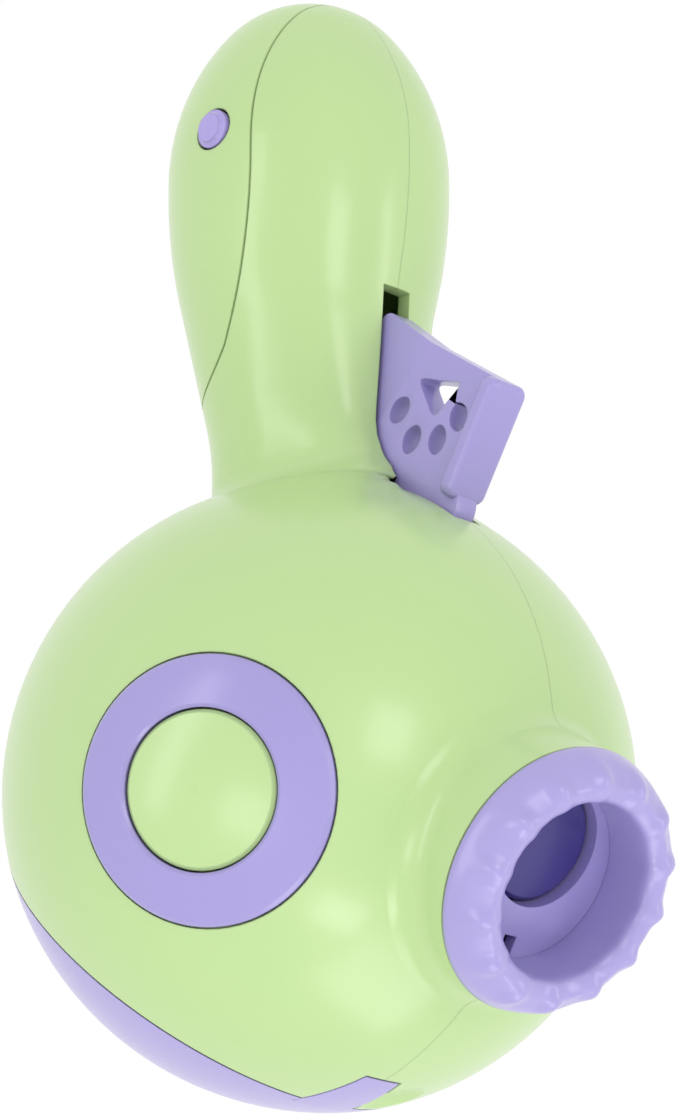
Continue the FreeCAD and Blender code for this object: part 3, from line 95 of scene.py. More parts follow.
class Wire:
    """A shader socket that takes part in Python expressions; each operator adds a Math node."""

    def __init__(self, maker: NodeMaker, socket: bpy.types.NodeSocket) -> None:
        """Wraps one output socket of a maker's node tree.

        Args:
            maker: The builder of the node tree.
            socket: The output socket.
        """
        self.maker = maker
        self.socket = socket

    def _math(self, operation: str, *values: Wire | float) -> Wire:
        """Adds one Math node.

        Args:
            operation: The Math node's operation name.
            values: Its inputs, in order.

        Returns:
            The node's value as a Wire.
        """
        return self.maker.node("ShaderNodeMath", {"operation": operation}, dict(enumerate(values)))

    def __add__(self, other: Wire | float) -> Wire:
        """The sum."""
        return self._math("ADD", self, other)

    def __sub__(self, other: Wire | float) -> Wire:
        """The difference."""
        return self._math("SUBTRACT", self, other)

    def __mul__(self, other: Wire | float) -> Wire:
        """The product."""
        return self._math("MULTIPLY", self, other)

    def __truediv__(self, other: Wire | float) -> Wire:
        """The quotient."""
        return self._math("DIVIDE", self, other)

    def __radd__(self, other: float) -> Wire:
        """The sum with a number on the left."""
        return self._math("ADD", other, self)

    def __rsub__(self, other: float) -> Wire:
        """A number less this."""
        return self._math("SUBTRACT", other, self)

    def __rmul__(self, other: float) -> Wire:
        """A number times this."""
        return self._math("MULTIPLY", other, self)

    def __abs__(self) -> Wire:
        """The absolute value."""
        return self._math("ABSOLUTE", self)

    def clamped(self) -> Wire:
        """The value held between 0 and 1."""
        return self._math("MINIMUM", self._math("MAXIMUM", self, 0.0), 1.0)


class NodeMaker:
    """Builds one node tree, of a material or of the world."""

    def __init__(self, owner: bpy.types.Material | bpy.types.World) -> None:
        """Starts with an empty node tree.

        Args:
            owner: The material or world that the nodes belong to.
        """
        self.owner = owner
        self.owner.use_nodes = True
        self.tree = owner.node_tree
        self.tree.nodes.clear()

    def node(self, kind: str, settings: dict | None = None, inputs: dict | None = None,
             output: int | str = 0) -> Wire:
        """Adds a node.

        Args:
            kind: The node's type name.
            settings: Properties to set before the inputs.
            inputs: Values, colours or Wires by socket name or number.
            output: The output socket to hand back.

        Returns:
            The chosen output as a Wire.
        """
        made = self.tree.nodes.new(kind)
        for key, value in (settings or {}).items():
            setattr(made, key, value)
        for key, value in (inputs or {}).items():
            if isinstance(value, Wire):
                self.tree.links.new(value.socket, made.inputs[key])
            else:
                made.inputs[key].default_value = value
        return Wire(self, made.outputs[output])

    def mix_colour(self, factor: Wire, low: tuple | Wire, high: tuple | Wire) -> Wire:
        """Mixes two colours by a factor.

        Args:
            factor: 0 gives low and 1 gives high.
            low: Linear RGBA.
            high: Linear RGBA.

        Returns:
            The mixed colour.
        """
        return self.node("ShaderNodeMix", {"data_type": "RGBA"}, {0: factor, 6: low, 7: high}, 2)

    def finish(self, shader: Wire, kind: str = "ShaderNodeOutputMaterial") -> None:
        """Links the surface shader to an output node.

        Args:
            shader: The surface shader.
            kind: The output node's type name.
        """
        end = self.tree.nodes.new(kind)
        self.tree.links.new(shader.socket, end.inputs["Surface"])


# ---------------------------------------------------------------- finishes

class Hue(Enum):
    """The moulding colours, as linear RGBA; the button lilac carries painted light, and the deep violet
    painted shade.
    """

    LEAF_GREEN = (0.424, 0.588, 0.258, 1.0)
    LILAC = (0.308, 0.268, 0.562, 1.0)
    PALE_LILAC = (0.335, 0.293, 0.585, 1.0)
    # the latch buttons' lilac, raised with painted light to offset the shade of their recess
    BUTTON_LILAC_WITH_PAINTED_LIGHT = (0.350, 0.290, 0.620, 1.0)
    # the inserts' own dark violet, lowered further with painted shade of the nozzle's bore
    DEEP_VIOLET_WITH_PAINTED_SHADE = (0.040, 0.030, 0.190, 1.0)
    SEAL_GREY = (0.600, 0.600, 0.640, 1.0)
    STEEL = (0.620, 0.620, 0.640, 1.0)
    STUDIO_WHITE = (1.0, 1.0, 1.0, 1.0)

    def at(self, share: float) -> tuple[float, ...]:
        """The colour with its brightness multiplied by a share, alpha kept."""
        return tuple(channel * share for channel in self.value[:3]) + (self.value[3],)


@dataclass(frozen=True)
class MouldedPlastic:
    """Satin injection-moulded plastic with a faint sink and flow unevenness."""

    name: str
    hue: Hue
    roughness: float = 0.30
    coat: float = 0.35
    coat_roughness: float = 0.16
    index: float = 1.46
    scatter: float = 0.10
    scatter_reach: tuple[float, float, float] = (0.004, 0.004, 0.003)
    scatter_scale: float = 0.5
    # broad waves are the flow and sink marks, fine ones the satin skin
    broad_scale: float = 28.0
    fine_scale: float = 900.0
    noise_detail: float = 2.0
    unevenness: float = 0.025
    roughness_swing: float = 0.03
    broad_relief: float = 0.3
    fine_relief: float = 0.03
    relief_strength: float = 0.25
    relief_depth: float = 0.1 * MM
    edge_round: float = 0.30 * MM
    edge_samples: int = 4
    # the parting line darkens the colour along the mid-plane as painted shade in the seam, and sinks the
    # relief there
    parting_line: bool = False
    line_half_width: float = 0.10 * MM
    seam_painted_shade_weight: float = 0.07
    line_shade: float = 0.45
    line_relief: float = 0.4

    def material(self) -> bpy.types.Material:
        """Builds the finish.

        Returns:
            The new material.
        """
        make = NodeMaker(bpy.data.materials.new(self.name))
        place = make.node("ShaderNodeTexCoord", output="Object")
        broad = self.noise(make, place, self.broad_scale)
        fine = self.noise(make, place, self.fine_scale)
        darker, lighter = self.hue.at(1.0 - self.unevenness), self.hue.at(1.0 + self.unevenness)
        colour = make.mix_colour(broad, darker, lighter)
        height = fine * self.fine_relief + broad * self.broad_relief
        if self.parting_line:
            groove = self.groove(make, place)
            # painted shade: the colour darkens along the seam
            colour = make.mix_colour(groove * self.seam_painted_shade_weight, colour, self.hue.at(self.line_shade))
            height = height - groove * self.line_relief
        edges = make.node("ShaderNodeBevel", {"samples": self.edge_samples}, {"Radius": self.edge_round})
        normal = make.node("ShaderNodeBump", None, {
            "Strength": self.relief_strength,
            "Distance": self.relief_depth,
            "Height": height,
            "Normal": edges})
        make.finish(make.node("ShaderNodeBsdfPrincipled", None, {
            "Base Color": colour,
            "Roughness": self.roughness - self.roughness_swing + 2.0 * self.roughness_swing * broad,
            "Normal": normal,
            "IOR": self.index,
            "Coat Weight": self.coat,
            "Coat Roughness": self.coat_roughness,
            "Subsurface Weight": self.scatter,
            "Subsurface Radius": self.scatter_reach,
            "Subsurface Scale": self.scatter_scale}))
        return make.owner

    def noise(self, make: NodeMaker, place: Wire, scale: float) -> Wire:
        """A soft noise over the surface.

        Args:
            make: The material's node builder.
            place: The point on the piece.
            scale: How many waves there are to a metre.

        Returns:
            The noise, from 0 to 1.
        """
        return make.node("ShaderNodeTexNoise", None,
                         {"Vector": place, "Scale": scale, "Detail": self.noise_detail})

    def groove(self, make: NodeMaker, place: Wire) -> Wire:
        """The thin line where the two halves meet, where the colour is darkened as painted shade and the
        relief sinks.

        Args:
            make: The material's node builder.
            place: The point on the piece.

        Returns:
            1 on the mid-plane and 0 beside it.
        """
        across = make.node("ShaderNodeSeparateXYZ", None, {0: place}, "Y")
        return (1.0 - abs(across) / self.line_half_width).clamped()


@dataclass(frozen=True)
class DrawnSteel:
    """Bright drawn wire and pin stock."""

    name: str
    roughness: float = 0.28
    grain_scale: float = 700.0
    grain: float = 0.12

    def material(self) -> bpy.types.Material:
        """Builds the finish.

        Returns:
            The new material.
        """
        make = NodeMaker(bpy.data.materials.new(self.name))
        place = make.node("ShaderNodeTexCoord", output="Object")
        grain = make.node("ShaderNodeTexNoise", None, {"Vector": place, "Scale": self.grain_scale})
        make.finish(make.node("ShaderNodeBsdfPrincipled", None, {
            "Base Color": Hue.STEEL.value,
            "Metallic": 1.0,
            "Roughness": self.roughness + self.grain * grain}))
        return make.owner


@dataclass(frozen=True)
class StudioPaper:
    """The pale floor, glowing evenly so that it reads as plain white."""

    name: str = "studio_paper"

    def material(self) -> bpy.types.Material:
        """Builds the finish.

        Returns:
            The new material.
        """
        make = NodeMaker(bpy.data.materials.new(self.name))
        make.finish(make.node("ShaderNodeEmission", None, {"Color": Hue.STUDIO_WHITE.value, "Strength": 1.0}))
        return make.owner


class Finish(Enum):
    """The finishes of the dispenser's pieces."""

    SHELL = MouldedPlastic("green_plastic", Hue.LEAF_GREEN, parting_line=True)
    COVER = MouldedPlastic("cover_green_plastic", Hue.LEAF_GREEN)
    TRIM = MouldedPlastic("lilac_plastic", Hue.LILAC)
    PALE_TRIM = MouldedPlastic("pale_lilac_plastic", Hue.PALE_LILAC)
    BUTTON = MouldedPlastic("button_lilac_with_painted_light", Hue.BUTTON_LILAC_WITH_PAINTED_LIGHT)
    INSERT = MouldedPlastic("violet_plastic_with_painted_shade", Hue.DEEP_VIOLET_WITH_PAINTED_SHADE)
    SEAL = MouldedPlastic("soft_seal", Hue.SEAL_GREY, roughness=0.6, coat=0.0)
    STEEL = DrawnSteel("drawn_steel")

    @cache
    def material(self) -> bpy.types.Material:
        """The finish's material, built at its first use."""
        return self.value.material()


# ---------------------------------------------------------------- camera and light

@dataclass(frozen=True)
class SoftPanel:
    """A soft rectangular light that faces the ball.

    Its place is in metres from the ball's centre, in the camera's own directions. Its brightness is its
    face's, next to the white surround's 1.
    """

    name: str
    across: float
    upward: float
    near: float
    width: float
    height: float
    brightness: float


@dataclass
class Studio:
    """Camera, soft lights, white surround and floor."""

    look_at: Vector = field(default_factory=BALL_CENTRE.copy)
    camera_offset: Vector = field(default_factory=lambda: Vector((508.7, 473.8, -89.8)) * MM)
    right: Vector = field(default_factory=lambda: Vector((0.599, -0.708, -0.374)))
    up: Vector = field(default_factory=lambda: Vector((-0.306, 0.229, -0.924)))
    towards: Vector = field(default_factory=lambda: Vector((0.740, 0.668, -0.080)))
    focal_pixels: float = 4622.0
    sensor: float = 36.0
    floor_size: float = 4.0
    floor_gap: float = 0.2 * MM
    panels: tuple[SoftPanel, ...] = (
        SoftPanel("key_light", 0.41, 0.40, 0.82, 0.26, 0.34, 3.6),
        SoftPanel("low_light", 0.11, -0.62, 0.78, 0.30, 0.20, 5.0),
        SoftPanel("foot_light", 0.32, -0.95, 0.35, 0.70, 0.50, 2.2),
        SoftPanel("fill_light", -0.40, -0.06, 0.86, 0.30, 0.26, 2.9),
        SoftPanel("left_light", -0.80, 0.35, 0.60, 0.16, 0.90, 3.4),
        SoftPanel("side_light", 0.95, 0.10, 0.30, 0.16, 0.70, 3.4),
    )

    def build(self) -> None:
        """Makes the camera, the lights, the world and the floor."""
        self.make_camera()
        for panel in self.panels:
            self.add_panel(panel)
        self.make_world()
        self.make_floor()

    def make_camera(self) -> None:
        """Adds the camera, rolled so that the grip points up in its view."""
        data = bpy.data.cameras.new("camera")
        data.sensor_fit = "VERTICAL"
        data.sensor_height = self.sensor
        data.lens = self.focal_pixels * self.sensor / IMAGE_HEIGHT
        camera = bpy.data.objects.new("camera", data)
        turn = Matrix((self.right, self.up, self.towards)).transposed()
        camera.matrix_world = Matrix.Translation(self.look_at + self.camera_offset) @ turn.to_4x4()
        bpy.context.collection.objects.link(camera)
        bpy.context.scene.camera = camera

    def add_panel(self, panel: SoftPanel) -> None:
        """Adds one soft light.

        Args:
            panel: Its place, size and brightness.
        """
        data = bpy.data.lights.new(panel.name, "AREA")
        data.shape = "RECTANGLE"
        data.size, data.size_y = panel.width, panel.height
        data.energy = panel.brightness * math.pi * panel.width * panel.height
        offset = self.right * panel.across + self.up * panel.upward + self.towards * panel.near
        lamp = bpy.data.objects.new(panel.name, data)
        facing = offset.to_track_quat("Z", "Y").to_matrix().to_4x4()
        lamp.matrix_world = Matrix.Translation(self.look_at + offset) @ facing
        bpy.context.collection.objects.link(lamp)

    def make_world(self) -> None:
        """Surrounds the part with even white, as a light tent does."""
        world = bpy.data.worlds.new("studio")
        make = NodeMaker(world)
        glow = make.node("ShaderNodeBackground", None, {"Color": Hue.STUDIO_WHITE.value, "Strength": 1.0})
        make.finish(glow, "ShaderNodeOutputWorld")
        bpy.context.scene.world = world
        bpy.context.scene.view_settings.view_transform = "Standard"

    def make_floor(self) -> None:
        """Lays a pale square floor at the grip's end, which lets the lamps below it light the part."""
        lowest = min(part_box(name)[0][2] for name in ("shell_left", "grip_cover"))
        shape = bmesh.new()
        bmesh.ops.create_grid(shape, x_segments=1, y_segments=1, size=self.floor_size / 2)
        bmesh.ops.translate(shape, verts=shape.verts, vec=(0, 0, lowest - self.floor_gap))
        floor = made_object("floor", shape, StudioPaper().material())
        floor.visible_shadow = False
        floor.visible_glossy = False
        floor.visible_diffuse = False


# ---------------------------------------------------------------- helpers for the pieces

def dress(pieces: Pieces, finish: Finish, *names: str) -> None:
    """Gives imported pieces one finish.

    Args:
        pieces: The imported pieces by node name.
        finish: Their finish.
        names: The nodes to dress.
    """
    for name in names:
        slots = pieces[name].data.materials
        slots.clear()
        slots.append(finish.material())
        log.info("%s is dressed in %s", name, finish.value.name)


def made_object(name: str, shape: bmesh.types.BMesh, material: bpy.types.Material,
                crease: float = 35.0) -> bpy.types.Object:
    """Turns a bmesh into an object at the origin and frees it.

    Args:
        name: The object's name.
        shape: The mesh data, in metres in the row frame.
        material: Its one finish.
        crease: The angle in degrees above which an edge stays sharp.

    Returns:
        The new object.
    """
    mesh = bpy.data.meshes.new(name)
    shape.to_mesh(mesh)
    shape.free()
    mesh.materials.append(material)
    mesh.shade_smooth()
    mesh.set_sharp_from_angle(angle=math.radians(crease))
    made = bpy.data.objects.new(name, mesh)
    bpy.context.collection.objects.link(made)
    return made


def stand_for(made: bpy.types.Object, node: str, body: str) -> bpy.types.Object:
    """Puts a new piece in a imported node's place.

    Args:
        made: The new piece.
        node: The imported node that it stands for.
        body: The body that it rides on.

    Returns:
        The new piece.
    """
    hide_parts(node)
    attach(made, body)
    log.info("%s stands for %s and rides on %s", made.name, node, body)
    return made


def smooth_step(value: float, start: float, end: float) -> float:
    """0 before start, 1 after end, and an even S-curve between them."""
    share = min(max((value - start) / (end - start), 0.0), 1.0)
    return share * share * (3.0 - 2.0 * share)


def curve_value(points: Sequence[tuple[float, float]], at: float) -> float:
    """A smooth curve through points: its value at a place, level beyond both ends.

    Args:
        points: Pairs of place and value, in rising order of place.
        at: The place.

    Returns:
        The value there.
    """
    if at <= points[0][0]:
        return points[0][1]
    if at >= points[-1][0]:
        return points[-1][1]
    index = max(n for n, (place, _) in enumerate(points) if place <= at)
    (start, low), (end, high) = points[index], points[index + 1]
    before, after = points[max(index - 1, 0)], points[min(index + 2, len(points) - 1)]
    width = end - start
    first = (high - before[1]) / (end - before[0]) * width
    last = (after[1] - low) / (after[0] - start) * width
    t = (at - start) / width
    near = ((2 * t - 3) * t * t + 1) * low + ((t - 2) * t + 1) * t * first
    far = (3 - 2 * t) * t * t * high + (t - 1) * t * t * last
    return near + far


@dataclass(frozen=True)
class ReshapedCopy:
    """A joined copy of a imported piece, its points moved a little by a rule.

    Without a bevel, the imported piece's own smooth shading is kept and turned with the moved surface.
    """

    name: str
    node: str
    body: str
    finish: Finish
    move: Move
    bevel: float = 0.0
    bevel_steps: int = 3
    # angles in degrees: flatter edges are dissolved, and steeper ones are rounded
    flat_below: float = 0.6
    sharp_above: float = 38.0
    probe: float = 0.05 * MM
    least_slope: float = 1e-6

    def build(self, pieces: Pieces) -> bpy.types.Object:
        """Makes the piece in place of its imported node.

        Args:
            pieces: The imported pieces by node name.

        Returns:
            The new object.
        """
        source = pieces[self.node].data
        shape = bmesh.new()
        shape.from_mesh(source)
        if self.bevel <= 0.0:
            self.hold_normals(shape, source)
        bmesh.ops.remove_doubles(shape, verts=shape.verts, dist=JOIN_DISTANCE)
        for vert in shape.verts:
            vert.co += self.move(vert.co)
        if self.bevel > 0.0:
            self.round_edges(shape)
        made = made_object(self.name, shape, self.finish.material())
        self.use_held_normals(made.data)
        return stand_for(made, self.node, self.body)

    def hold_normals(self, shape: bmesh.types.BMesh, source: bpy.types.Mesh) -> None:
        """Stores each corner's shading normal, turned as the moved surface turns there.

        Args:
            shape: The copy, before its corners are joined.
            source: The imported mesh.
        """
        held = shape.loops.layers.float_vector.new("held")
        corners = source.corner_normals
        for face in shape.faces:
            for loop in face.loops:
                loop[held] = self.turned_normal(Vector(corners[loop.index].vector), loop.vert.co)

    def turned_normal(self, normal: Vector, point: Vector) -> Vector:
        """The normal of the moved surface at a point, from the move's own slopes.

        Args:
            normal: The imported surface's normal.
            point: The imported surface's point.

        Returns:
            The turned normal.
        """
        here = self.move(point)
        steps = [Vector((self.probe, 0, 0)), Vector((0, self.probe, 0)), Vector((0, 0, self.probe))]
        slopes = [(self.move(point + step) - here) / self.probe for step in steps]
        if all(slope.length < self.least_slope for slope in slopes):
            return normal
        change = Matrix(slopes).transposed() + Matrix.Identity(3)
        return (change.inverted().transposed() @ normal).normalized()

    def round_edges(self, shape: bmesh.types.BMesh) -> None:
        """Rounds the piece's sharp edges with a narrow bevel.

        Args:
            shape: The joined copy.
        """
        bmesh.ops.dissolve_limit(shape, angle_limit=math.radians(self.flat_below),
                                 verts=shape.verts, edges=shape.edges)
        sharp = [edge for edge in shape.edges
                 if edge.is_manifold and edge.calc_face_angle(0.0) > math.radians(self.sharp_above)]
        bmesh.ops.bevel(shape, geom=sharp, offset=self.bevel, offset_type="OFFSET", affect="EDGES",
                        segments=self.bevel_steps, profile=0.5, material=-1, clamp_overlap=True)

    @staticmethod
    def use_held_normals(mesh: bpy.types.Mesh) -> None:
        """Sets the stored corner normals, if the mesh has them.

        Args:
            mesh: The new piece's mesh.
        """
        held = mesh.attributes.get("held")
        if held is None:
            return
        normals = [tuple(corner.vector) for corner in held.data]
        mesh.attributes.remove(held)
        mesh.normals_split_custom_set(normals)


@dataclass(frozen=True)
class CoilSpring:
    """A copy of the imported coil, its six-sided wire shaded round.

    The anchor is its fixed end, and keep is the share of its length that is left at the joint's limit;
    neither is used.
    """

    node: str
    body: str
    joint: str
    axis: tuple[float, float, float]
    anchor: tuple[float, float, float]
    keep: float
    round_below: float = 75.0

    def build(self, pieces: Pieces) -> bpy.types.Object:
        """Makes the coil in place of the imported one.

        Args:
            pieces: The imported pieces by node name.

        Returns:
            The new object.
        """
        shape = bmesh.new()
        shape.from_mesh(pieces[self.node].data)
        bmesh.ops.remove_doubles(shape, verts=shape.verts, dist=JOIN_DISTANCE)
        made = made_object("coil_" + self.node, shape, Finish.STEEL.material(), crease=self.round_below)
        stand_for(made, self.node, self.body)
        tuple(self.axis)
        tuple(self.anchor)
        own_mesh(made)
        return made


# ---------------------------------------------------------------- the housing

@dataclass(frozen=True)
class NeckLean:
    """Moves the front of the grip's neck forward and widens its blend into the ball, in millimetres."""

    # place down the grip from the ball, forward move there
    moves: tuple[tuple[float, float], ...] = (
        (36.0, 0.0), (38.4, 0.4), (41.7, 2.7), (43.6, 5.2), (45.4, 6.2), (48.7, 4.9), (52.3, 3.5),
        (57.0, 2.9), (61.8, 2.3), (66.7, 1.6), (71.5, 0.9), (75.5, 0.2), (79.0, 0.0))
    front_start: float = 5.5
    front_full: float = 14.0
    skin_start: float = 43.5
    skin_full: float = 46.5
    # the finger pad's rear face at full pull, its half width and its top, with room around them
    pad_back: float = -9.6
    pad_half: float = 4.3
    pad_blend: float = 6.5
    pad_top: float = -47.9
    pad_top_blend: float = -45.9

    def __call__(self, point: Vector) -> Vector:
        """The move of one point of the shells.

        Args:
            point: The point, in metres.

        Returns:
            How far it moves, in metres.
        """
        local = (point - BALL_CENTRE) / MM
        along = local.dot(GRIP_DOWN) - GRIP_SET_BACK * math.sin(RAKE)
        front = local.dot(GRIP_FORWARD) + GRIP_SET_BACK * math.cos(RAKE)
        share = smooth_step(front, self.front_start, self.front_full) \
            * smooth_step(local.length, self.skin_start, self.skin_full)
        if share == 0.0 or not self.moves[0][0] < along < self.moves[-1][0]:
            return Vector()
        ahead = curve_value(self.moves, along) * share
        held_back = self.pad_share(local) * max(0.0, ahead - self.room(local))
        return GRIP_FORWARD * ((ahead - held_back) * MM)

    def room(self, local: Vector) -> float:
        """How far a point may move before the finger pad would touch it at full pull."""
        return max(0.0, (self.pad_back - local.x) / GRIP_FORWARD.x)

    def pad_share(self, local: Vector) -> float:
        """1 behind the finger pad, 0 well beside or above it."""
        behind = 1.0 - smooth_step(abs(local.y), self.pad_half, self.pad_blend)
        return behind * smooth_step(-local.z, -self.pad_top_blend, -self.pad_top)


@dataclass
class Housing:
    """The two shell halves, the eyes and what is fixed inside the halves."""

    lean: NeckLean = field(default_factory=NeckLean)

    def build(self, pieces: Pieces) -> None:
        """Dresses the fixed pieces and makes the leaning shell halves.

        Args:
            pieces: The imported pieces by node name.
        """
        halves = ("shell_left", "shell_right")
        dress(pieces, Finish.SHELL, *halves)
        dress(pieces, Finish.COVER, "eye_cap_left", "eye_cap_right")
        dress(pieces, Finish.TRIM, "eye_ring_left", "eye_ring_right", "launch_tube")
        dress(pieces, Finish.INSERT, "hopper")
        dress(pieces, Finish.STEEL, "lid_pin", "grip_cover_pin", "shell_screws")
        for node in halves:
            ReshapedCopy("moulded_" + node, node, "housing", Finish.SHELL, self.lean).build(pieces)


# ---------------------------------------------------------------- the launcher

@dataclass
class Launcher:
    """The piston and the spring that drives it."""

    spring: CoilSpring = CoilSpring(
        "launch_spring", "housing", "piston_draw", axis=(1, 0, 0), anchor=(0.069637, 0, 0), keep=0.57)

    def build(self, pieces: Pieces) -> None:
        """Dresses the piston and makes its spring.

        Args:
            pieces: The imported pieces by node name.
        """
        dress(pieces, Finish.INSERT, "piston")
        dress(pieces, Finish.STEEL, self.spring.node)
        self.spring.build(pieces)


# ---------------------------------------------------------------- the trigger

@dataclass(frozen=True)
class TriggerTrim:
    """Slopes the trigger's foot edge and draws the paw's main pad as a soft triangle, in millimetres."""

    paw_x: float = -6.9
    paw_z: float = -62.9
    # how far from the paw's middle the pad's own points lie; towards the front toe it is less
    paw_core: float = 0.5
    paw_reach: float = 4.7
    paw_reach_by_toe: float = 3.95
    # the triangle's sides: outward direction (x, z) and distance
    sides: tuple[tuple[float, float, float], ...] = (
        (-0.252, -0.968, 2.45), (0.917, 0.398, 2.45), (-0.582, 0.813, 2.40))
    softness: float = 4.5
    foot_start: float = -62.0
    foot_full: float = -68.5
    rear: float = -25.0
    front: float = 5.4
    rear_drop: float = 0.2
    front_rise: float = 0.9

    def __call__(self, point: Vector) -> Vector:
        """The move of one point of the trigger.

        Args:
            point: The point, in metres.

        Returns:
            How far it moves, in metres.
        """
        local = (point - BALL_CENTRE) / MM
        move = self.paw_move(local)
        move.z += self.foot_move(local)
        return move * MM

    def paw_move(self, local: Vector) -> Vector:
        """Brings a point of the paw's main pad onto the soft triangle.

        Args:
            local: The point from the ball's centre.

        Returns:
            Its move.
        """
        across, upward = local.x - self.paw_x, local.z - self.paw_z
        reach = math.hypot(across, upward)
        by_toe = across > 0.0 and upward > 0.0
        if not self.paw_core < reach < (self.paw_reach_by_toe if by_toe else self.paw_reach):
            return Vector()
        grow = self.triangle_radius(across / reach, upward / reach) / reach
        return Vector((across, 0.0, upward)) * (grow - 1.0)

    def triangle_radius(self, across: float, upward: float) -> float:
        """The soft triangle's radius in one direction from its centre.

        Args:
            across: The direction's part along the blade; with upward it makes a length of 1.
            upward: The direction's part up the blade.

        Returns:
            The radius, in the unit of the sides' distances.
        """
        total = sum((max(0.0, across * x + upward * z) / distance) ** self.softness
                    for x, z, distance in self.sides)
        return total ** (-1.0 / self.softness)

    def foot_move(self, local: Vector) -> float:
        """How far a point near the foot edge rises: a little down at the rear and up at the front.

        Args:
            local: The point from the ball's centre.

        Returns:
            Its rise.
        """
        along = (local.x - self.rear) / (self.front - self.rear)
        slope = -self.rear_drop + (self.rear_drop + self.front_rise) * along
        return slope * smooth_step(-local.z, -self.foot_start, -self.foot_full)


@dataclass
class TriggerGroup:
    """The sliding trigger with its return spring, the sear, and the sear's pin and spring."""

    blade: ReshapedCopy = ReshapedCopy(
        "trigger_blade", "trigger", "trigger", Finish.TRIM, TriggerTrim(), bevel=0.35 * MM)
    return_spring: CoilSpring = CoilSpring(
        "trigger_spring", "housing", "trigger_pull", axis=(1, 0, 0), anchor=(0.012637, 0, 0), keep=0.41)
    sear_spring: CoilSpring = CoilSpring(
        "sear_spring", "trigger", "sear_trip", axis=(0, 0, 1), anchor=(0, 0, 0.055001), keep=0.34)

    def build(self, pieces: Pieces) -> None:
        """Dresses the sear and its pin, and makes the blade and both springs.

        Args:
            pieces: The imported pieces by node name.
        """
        dress(pieces, Finish.TRIM, self.blade.node)
        dress(pieces, Finish.INSERT, "sear")
        dress(pieces, Finish.STEEL, "sear_pin", self.return_spring.node, self.sear_spring.node)
        for part in (self.blade, self.return_spring, self.sear_spring):
            part.build(pieces)


# ---------------------------------------------------------------- the nozzle

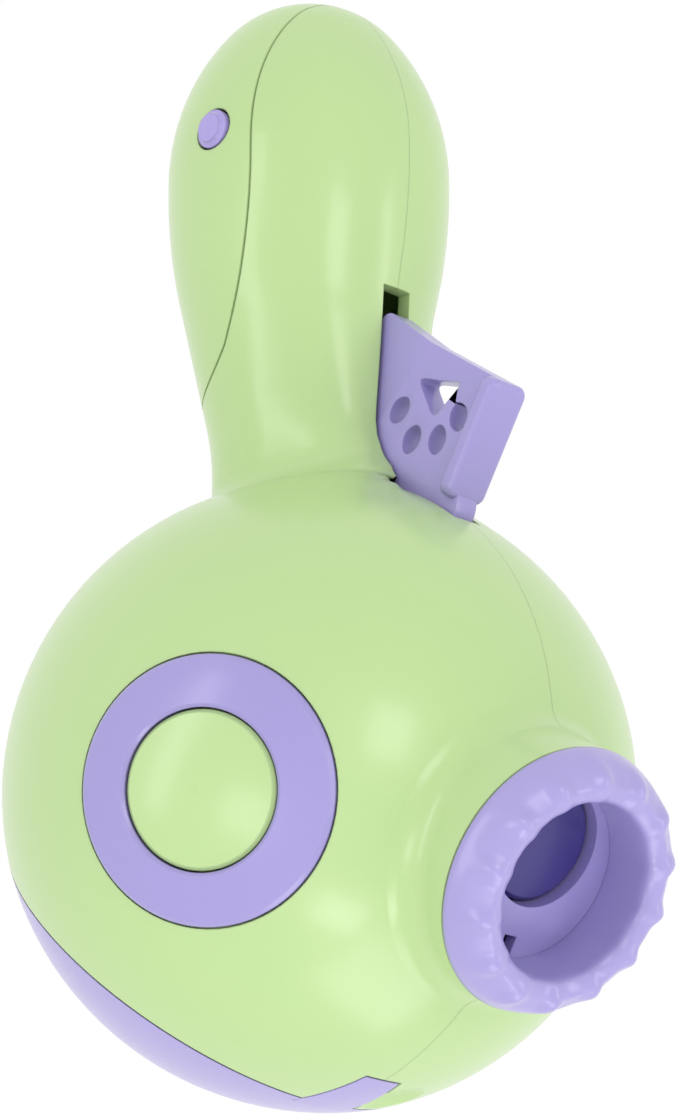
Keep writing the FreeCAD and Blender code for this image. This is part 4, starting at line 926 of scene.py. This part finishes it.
@dataclass
class NozzleKnob:
    """The scalloped nozzle: wide shallow flutes across its front corner, softened lands between them.

    Sizes are in millimetres from the ball's centre, along the nozzle's axis and outwards from it.
    """

    flange_back: float = 51.9
    drop: float = 6.4
    flutes: int = 14
    depth: float = 0.95
    land_sharpness: float = 2.4
    steps_per_flute: int = 18
    crease: float = 50.0
    lugs: int = 3
    lug_half_angle: float = math.radians(13.6)
    lug_steps: int = 8
    # a lug's section: along the axis, radius
    lug_section: tuple[tuple[float, float], ...] = ((49.5, 15.6), (49.5, 16.9), (50.5, 16.9), (50.5, 15.6))
    # the knob's section: along the axis from the flange's back, radius, share of the flutes' depth
    section: tuple[tuple[float, float, float], ...] = (
        (-3.38, 13.4, 0.0), (-3.38, 15.5, 0.0), (-3.1, 15.8, 0.0), (-0.05, 15.8, 0.0), (0.0, 15.9, 0.0),
        (0.0, 19.7, 0.0), (0.08, 20.05, 0.0), (0.35, 20.22, 0.0), (1.2, 20.02, 0.0), (2.2, 19.74, 0.02),
        (3.2, 19.42, 0.12), (4.1, 19.08, 0.36), (4.9, 18.72, 0.68), (5.5, 18.38, 0.90), (6.0, 17.98, 1.0),
        (6.4, 17.5, 1.0), (6.68, 17.0, 0.94), (6.84, 16.5, 0.80), (6.84, 16.0, 0.62), (6.68, 15.4, 0.46),
        (6.42, 14.8, 0.38), (6.15, 14.3, 0.32), (5.85, 13.9, 0.28), (5.5, 13.6, 0.22), (5.0, 13.45, 0.12),
        (4.3, 13.4, 0.03), (3.2, 13.4, 0.0), (0.4, 13.4, 0.0),
    )

    @property
    def centre(self) -> Vector:
        """The point of the nozzle's axis that is level with the ball's centre, in metres."""
        return BALL_CENTRE - Vector((0.0, 0.0, self.drop * MM))

    def build(self, pieces: Pieces) -> None:
        """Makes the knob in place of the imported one.

        Args:
            pieces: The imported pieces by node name.
        """
        dress(pieces, Finish.PALE_TRIM, "nozzle_knob")
        shape = bmesh.new()
        self.turn_body(shape)
        for lug in range(self.lugs):
            self.add_lug(shape, math.tau * lug / self.lugs)
        bmesh.ops.recalc_face_normals(shape, faces=shape.faces)
        made = made_object("nozzle_scalloped", shape, Finish.PALE_TRIM.material(), crease=self.crease)
        stand_for(made, "nozzle_knob", "nozzle")

    def turn_body(self, shape: bmesh.types.BMesh) -> None:
        """Turns the section about the axis, then sinks the flutes into its front corner.

        Args:
            shape: The mesh being made.
        """
        sink = shape.verts.layers.float_vector.new("sink")
        verts = []
        for index, (along, radius, share) in enumerate(self.section):
            vert = shape.verts.new(self.centre + Vector((self.flange_back + along, 0.0, radius)) * MM)
            vert[sink] = self.inward(index) * (self.depth * share * MM)
            verts.append(vert)
        edges = [shape.edges.new((verts[index - 1], vert)) for index, vert in enumerate(verts)]
        bmesh.ops.spin(shape, geom=verts + edges, cent=self.centre, axis=BARREL, dvec=(0, 0, 0),
                       angle=math.tau, steps=self.flutes * self.steps_per_flute, use_merge=True,
                       use_duplicate=False)
        for vert in shape.verts:
            outward = vert.co - self.centre
            outward.x = 0.0
            outward.normalize()
            along, out, _ = vert[sink]
            vert.co += (BARREL * along + outward * out) * self.hollow(math.atan2(-outward.y, outward.z))
        shape.verts.layers.float_vector.remove(sink)

    def inward(self, index: int) -> Vector:
        """The direction into the material at a point of the section.

        Args:
            index: The point's number.

        Returns:
            The direction: along the axis, then outwards.
        """
        ahead = self.section[(index + 1) % len(self.section)]
        behind = self.section[index - 1]
        return Vector((ahead[1] - behind[1], behind[0] - ahead[0], 0.0)).normalized()

    def hollow(self, angle: float) -> float:
        """How deep the flutes are at an angle, from 0 on a land to 1 in a flute."""
        land = 0.5 - 0.5 * math.cos(self.flutes * angle)
        return 1.0 - land ** self.land_sharpness

    def add_lug(self, shape: bmesh.types.BMesh, middle: float) -> None:
        """Adds one bayonet lug to the hub: its section, turned through a short arc.

        Args:
            shape: The mesh being made.
            middle: The angle of the lug's middle, in radians.
        """
        verts = [shape.verts.new(self.centre + Vector((along, 0.0, radius)) * MM)
                 for along, radius in self.lug_section]
        start = Matrix.Rotation(middle - self.lug_half_angle, 3, BARREL)
        bmesh.ops.rotate(shape, verts=verts, cent=self.centre, matrix=start)
        end = shape.faces.new(verts)
        bmesh.ops.spin(shape, geom=[end, *end.edges, *verts], cent=self.centre, axis=BARREL, dvec=(0, 0, 0),
                       angle=2.0 * self.lug_half_angle, steps=self.lug_steps, use_merge=False,
                       use_duplicate=False)


# ---------------------------------------------------------------- the lid and the grip's cover

@dataclass(frozen=True)
class FillerLid:
    """The lid over the treats, with its seal."""

    def build(self, pieces: Pieces) -> None:
        """Dresses the lid and its seal.

        Args:
            pieces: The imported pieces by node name.
        """
        dress(pieces, Finish.PALE_TRIM, "lid")
        dress(pieces, Finish.SEAL, "lid_seal")


@dataclass
class GripCover:
    """The cover on the back of the grip, with its two latch buttons and their springs."""

    springs: tuple[CoilSpring, ...] = (
        CoilSpring("latch_spring_left", "grip_cover", "latch_left_press",
                   axis=(0, 1, 0), anchor=(0, 0.013, 0), keep=0.49),
        CoilSpring("latch_spring_right", "grip_cover", "latch_right_press",
                   axis=(0, 1, 0), anchor=(0, -0.013, 0), keep=0.49),
    )

    def build(self, pieces: Pieces) -> None:
        """Dresses the cover and the buttons, and makes the springs.

        Args:
            pieces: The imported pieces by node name.
        """
        dress(pieces, Finish.COVER, "grip_cover")
        dress(pieces, Finish.BUTTON, "latch_button_left", "latch_button_right")
        for spring in self.springs:
            dress(pieces, Finish.STEEL, spring.node)
            spring.build(pieces)


# ---------------------------------------------------------------- the whole


def main() -> None:
    """Loads the frame, dresses it, builds the new pieces and sets up the studio."""
    logging.basicConfig(level=logging.INFO)
    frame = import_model()
    for group in (Housing(), Launcher(), TriggerGroup(), NozzleKnob(), FillerLid(), GripCover()):
        group.build(frame["nodes"])
    Studio().build()


if __name__ == "__main__":
    main()
